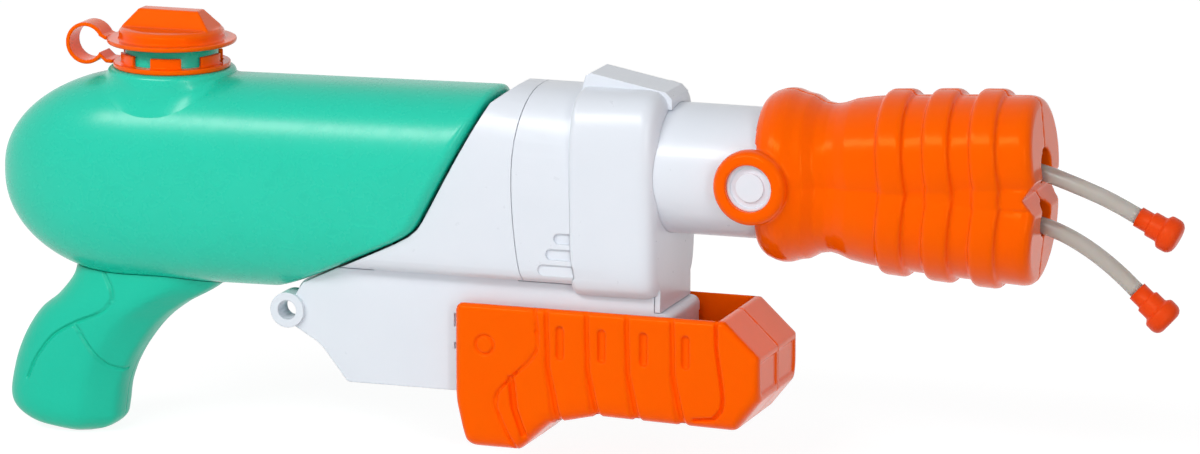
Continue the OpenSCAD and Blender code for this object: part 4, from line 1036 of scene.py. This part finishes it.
@dataclass
class Studio:
    """Camera at the photograph's angle, a pale floor and soft light. Lengths are metres."""

    target: tuple[float, float, float] = (0.043, 0.0, 0.116)
    azimuth: float = math.radians(18.8)
    elevation: float = math.radians(12.0)
    distance: float = 3.023
    lens_mm: float = 195.0
    sensor_mm: float = 36.0
    front: float = 0.54
    behind: float = 0.22
    zenith: float = 0.6
    paper_half: float = 6.0
    paper_colour: tuple[float, float, float, float] = (0.9, 0.9, 0.9, 1.0)
    paper_glow: float = 1.26
    glow_share: float = 0.72
    lamps: tuple[SoftBox, ...] = (
        SoftBox("key_strip", (-0.6, -1.8, 1.6), 2.0, 0.5, 32.0),
        SoftBox("nose_strip", (1.75, -1.9, 0.55), 0.28, 1.5, 12.0),
    )

    def camera(self) -> None:
        """Puts the camera on a line that leaves the target at the photograph's azimuth and elevation."""
        data = bpy.data.cameras.new("camera")
        data.lens = self.lens_mm
        data.sensor_width = self.sensor_mm
        camera = placed("camera", data)
        back = Vector((
            math.sin(self.azimuth) * math.cos(self.elevation),
            -math.cos(self.azimuth) * math.cos(self.elevation),
            math.sin(self.elevation),
        ))
        camera.location = Vector(self.target) + back * self.distance
        camera.rotation_euler = (-back).to_track_quat("-Z", "Y").to_euler()
        bpy.context.scene.camera = camera

    def background_rays(self, tree: bpy.types.NodeTree) -> bpy.types.NodeSocket:
        """Tells the rays that see the background from those that carry its light.

        Args:
            tree: The node tree of the world or the floor.
        Returns:
            A socket that is one for rays from the camera, off gloss and through clear pieces.
        """
        path = add(tree, "ShaderNodeLightPath").outputs
        clear = {0: path["Is Camera Ray"], 1: path["Is Transmission Ray"]}
        seen = add(tree, "ShaderNodeMath", {"operation": "MAXIMUM"}, clear)
        gloss = {0: seen.outputs[0], 1: path["Is Glossy Ray"]}
        return add(tree, "ShaderNodeMath", {"operation": "MAXIMUM"}, gloss).outputs[0]

    def world(self) -> None:
        """Adds a white world that lights the toy softly, less from behind it and from straight above."""
        world = bpy.data.worlds.new("studio")
        bpy.context.scene.world = world
        tree = empty_tree(world)
        direction = add(tree, "ShaderNodeTexCoord").outputs["Generated"]
        way = add(tree, "ShaderNodeSeparateXYZ", None, {"Vector": direction}).outputs
        fall = add(tree, "ShaderNodeMapRange", {"To Min": 1.0, "To Max": self.zenith}, {"Value": way["Z"]})
        span = {"From Min": -1.0, "To Min": self.front, "To Max": self.behind}
        depth = add(tree, "ShaderNodeMapRange", span, {"Value": way["Y"]})
        product = {0: fall.outputs["Result"], 1: depth.outputs["Result"]}
        level = add(tree, "ShaderNodeMath", {"operation": "MULTIPLY"}, product)
        white = {"Color": (1, 1, 1, 1), "Strength": 1.0}
        soft = add(tree, "ShaderNodeBackground", white, {"Strength": level.outputs[0]})
        plain = add(tree, "ShaderNodeBackground", white)
        both = add(tree, "ShaderNodeMixShader", None,
                   {0: self.background_rays(tree), 1: soft.outputs[0], 2: plain.outputs[0]})
        add(tree, "ShaderNodeOutputWorld", None, {"Surface": both.outputs[0]})

    def floor(self) -> None:
        """Adds the floor: white paper that glows for the camera and keeps a share of the toy's shadow."""
        half = self.paper_half
        mesh = bpy.data.meshes.new("floor")
        corners = [(-half, -half, 0), (half, -half, 0), (half, half, 0), (-half, half, 0)]
        mesh.from_pydata(corners, [], [(0, 1, 2, 3)])
        floor = placed("floor", mesh)
        material = bpy.data.materials.new("white_paper")
        tree = empty_tree(material)
        share = add(tree, "ShaderNodeMath", {"operation": "MULTIPLY", 1: self.glow_share},
                    {0: self.background_rays(tree)})
        paper = add(tree, "ShaderNodeBsdfDiffuse", {"Color": self.paper_colour})
        white = add(tree, "ShaderNodeEmission", {"Color": (1, 1, 1, 1), "Strength": self.paper_glow})
        both = add(tree, "ShaderNodeMixShader", None,
                   {0: share.outputs[0], 1: paper.outputs[0], 2: white.outputs[0]})
        add(tree, "ShaderNodeOutputMaterial", None, {"Surface": both.outputs[0]})
        floor.data.materials.append(material)

    def build(self) -> None:
        """Builds camera, lights and floor, and sets the plain view transform."""
        self.camera()
        for lamp in self.lamps:
            lamp.build(Vector(self.target))
        self.world()
        self.floor()
        bpy.context.scene.view_settings.view_transform = "Standard"


# Hoses


@dataclass
class WhipHose:
    """A soft hose that leaves the nozzle and ends in its tip."""

    node: str
    route_mm: tuple[tuple[float, float], ...]
    diameter_mm: float = 7.6
    along: int = 28
    around: int = 48

    def centre_line(self) -> Array:
        """The hose's middle: the part's own route points, joined by a smooth curve, in metres."""
        flat = smooth_line(np.array(self.route_mm, float), self.along)
        return np.stack([flat[:, 0], np.zeros(self.along), flat[:, 1]], axis=1) * MM

    def mesh(self) -> bpy.types.Object:
        """Sweeps a circle along the middle line.

        A point is the middle point plus the radius times a direction that turns round the line's own
        direction. Each end closes on the middle.

        Returns:
            The hose's object.
        """
        line = self.centre_line()
        tangent = np.gradient(line, axis=0)
        tangent /= np.linalg.norm(tangent, axis=1)[:, None]
        side = np.array([0.0, 1.0, 0.0])
        upward = np.cross(tangent, side)
        angle = np.linspace(0, 2 * np.pi, self.around, endpoint=False)
        spoke = np.cos(angle)[None, :, None] * side + np.sin(angle)[None, :, None] * upward[:, None, :]
        body = line[:, None, :] + self.diameter_mm / 2 * MM * spoke
        ends = (np.repeat(line[k][None, None], self.around, axis=1) for k in (0, -1))
        points = np.concatenate([next(ends), body, next(ends)])
        quads = grid_faces(len(points), self.around, True)
        return piece_from(self.node + "_tube", [(points, quads)], outward=True)

    def length(self) -> float:
        """Length of the middle line in metres."""
        return float(np.linalg.norm(np.diff(self.centre_line(), axis=0), axis=1).sum())

    def build(self, wardrobe: Wardrobe, tip: bpy.types.Object) -> None:
        """Args:
            wardrobe: The finishes.
            tip: The tip's object. It is not used.
        """
        hose = self.mesh()
        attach(hose, Body.NOZZLE.value)
        wardrobe.stand_in(hose, SOFT_PVC, self.node)
        LOG.info("%s is %.1f mm long", self.node, self.length() / MM)


SHELLS = (
    SoftShell("cap_ring", Body.GUN, ORANGE_ABS, voxel_mm=0.4),
    SoftShell("cap_strap", Body.GUN, ORANGE_ABS, voxel_mm=0.35, passes=4, bends_with=Body.CAP),
    SoftShell("cap", Body.CAP, ORANGE_ABS, voxel_mm=0.45, passes=4),
    MouldedShell("housing_right", Body.GUN, WHITE_ABS),
    MouldedShell("housing_left", Body.GUN, WHITE_ABS),
    MouldedShell("mid_shroud", Body.GUN, WHITE_ABS),
    MouldedShell("front_collar", Body.GUN, WHITE_ABS),
    MouldedShell("barrel", Body.GUN, WHITE_ABS),
    SoftShell("pump_grip_right", Body.PUMP, ORANGE_ABS, voxel_mm=0.56, passes=2, carve=PumpRelief().carve),
    SoftShell("pump_grip_left", Body.PUMP, ORANGE_ABS, voxel_mm=0.56, passes=2, carve=PumpRelief().carve),
    SoftShell("nozzle_right", Body.NOZZLE, ORANGE_ABS),
    SoftShell("nozzle_left", Body.NOZZLE, ORANGE_ABS),
)

UPPER_ROUTE = ((236, 159.2), (244, 158.4), (252, 156.6), (260, 154.4), (268, 151.8), (276, 149), (284, 146),
               (292, 142.4), (300, 138.4))
LOWER_ROUTE = ((236, 134.8), (244, 134), (252, 132.2), (260, 130), (268, 126.8), (276, 122.6), (284, 117.4),
               (292, 111.2), (300, 104))


def main() -> None:
    """Builds the studio, dresses the parts and adds the modelled pieces in order."""
    logging.basicConfig(level=logging.INFO, format="%(message)s")
    Studio().build()
    wardrobe = Wardrobe(FINISHES)
    slots = {part["node"]: part["material_slot"] for part in frame["record"]["subparts"]}
    wardrobe.dress_cad(frame["nodes"], slots)
    for level, route in (("upper", UPPER_ROUTE), ("lower", LOWER_ROUTE)):
        tip = HoseTip("tip_" + level, route).build(wardrobe)
        WhipHose("hose_" + level, route).build(wardrobe, tip)
    WaterTank().build(wardrobe)
    GripHalf("grip_right", -1).build(wardrobe)
    GripHalf("grip_left", 1).build(wardrobe)
    for shell in SHELLS:
        shell.build(wardrobe)


if __name__ == "__main__":
    main()
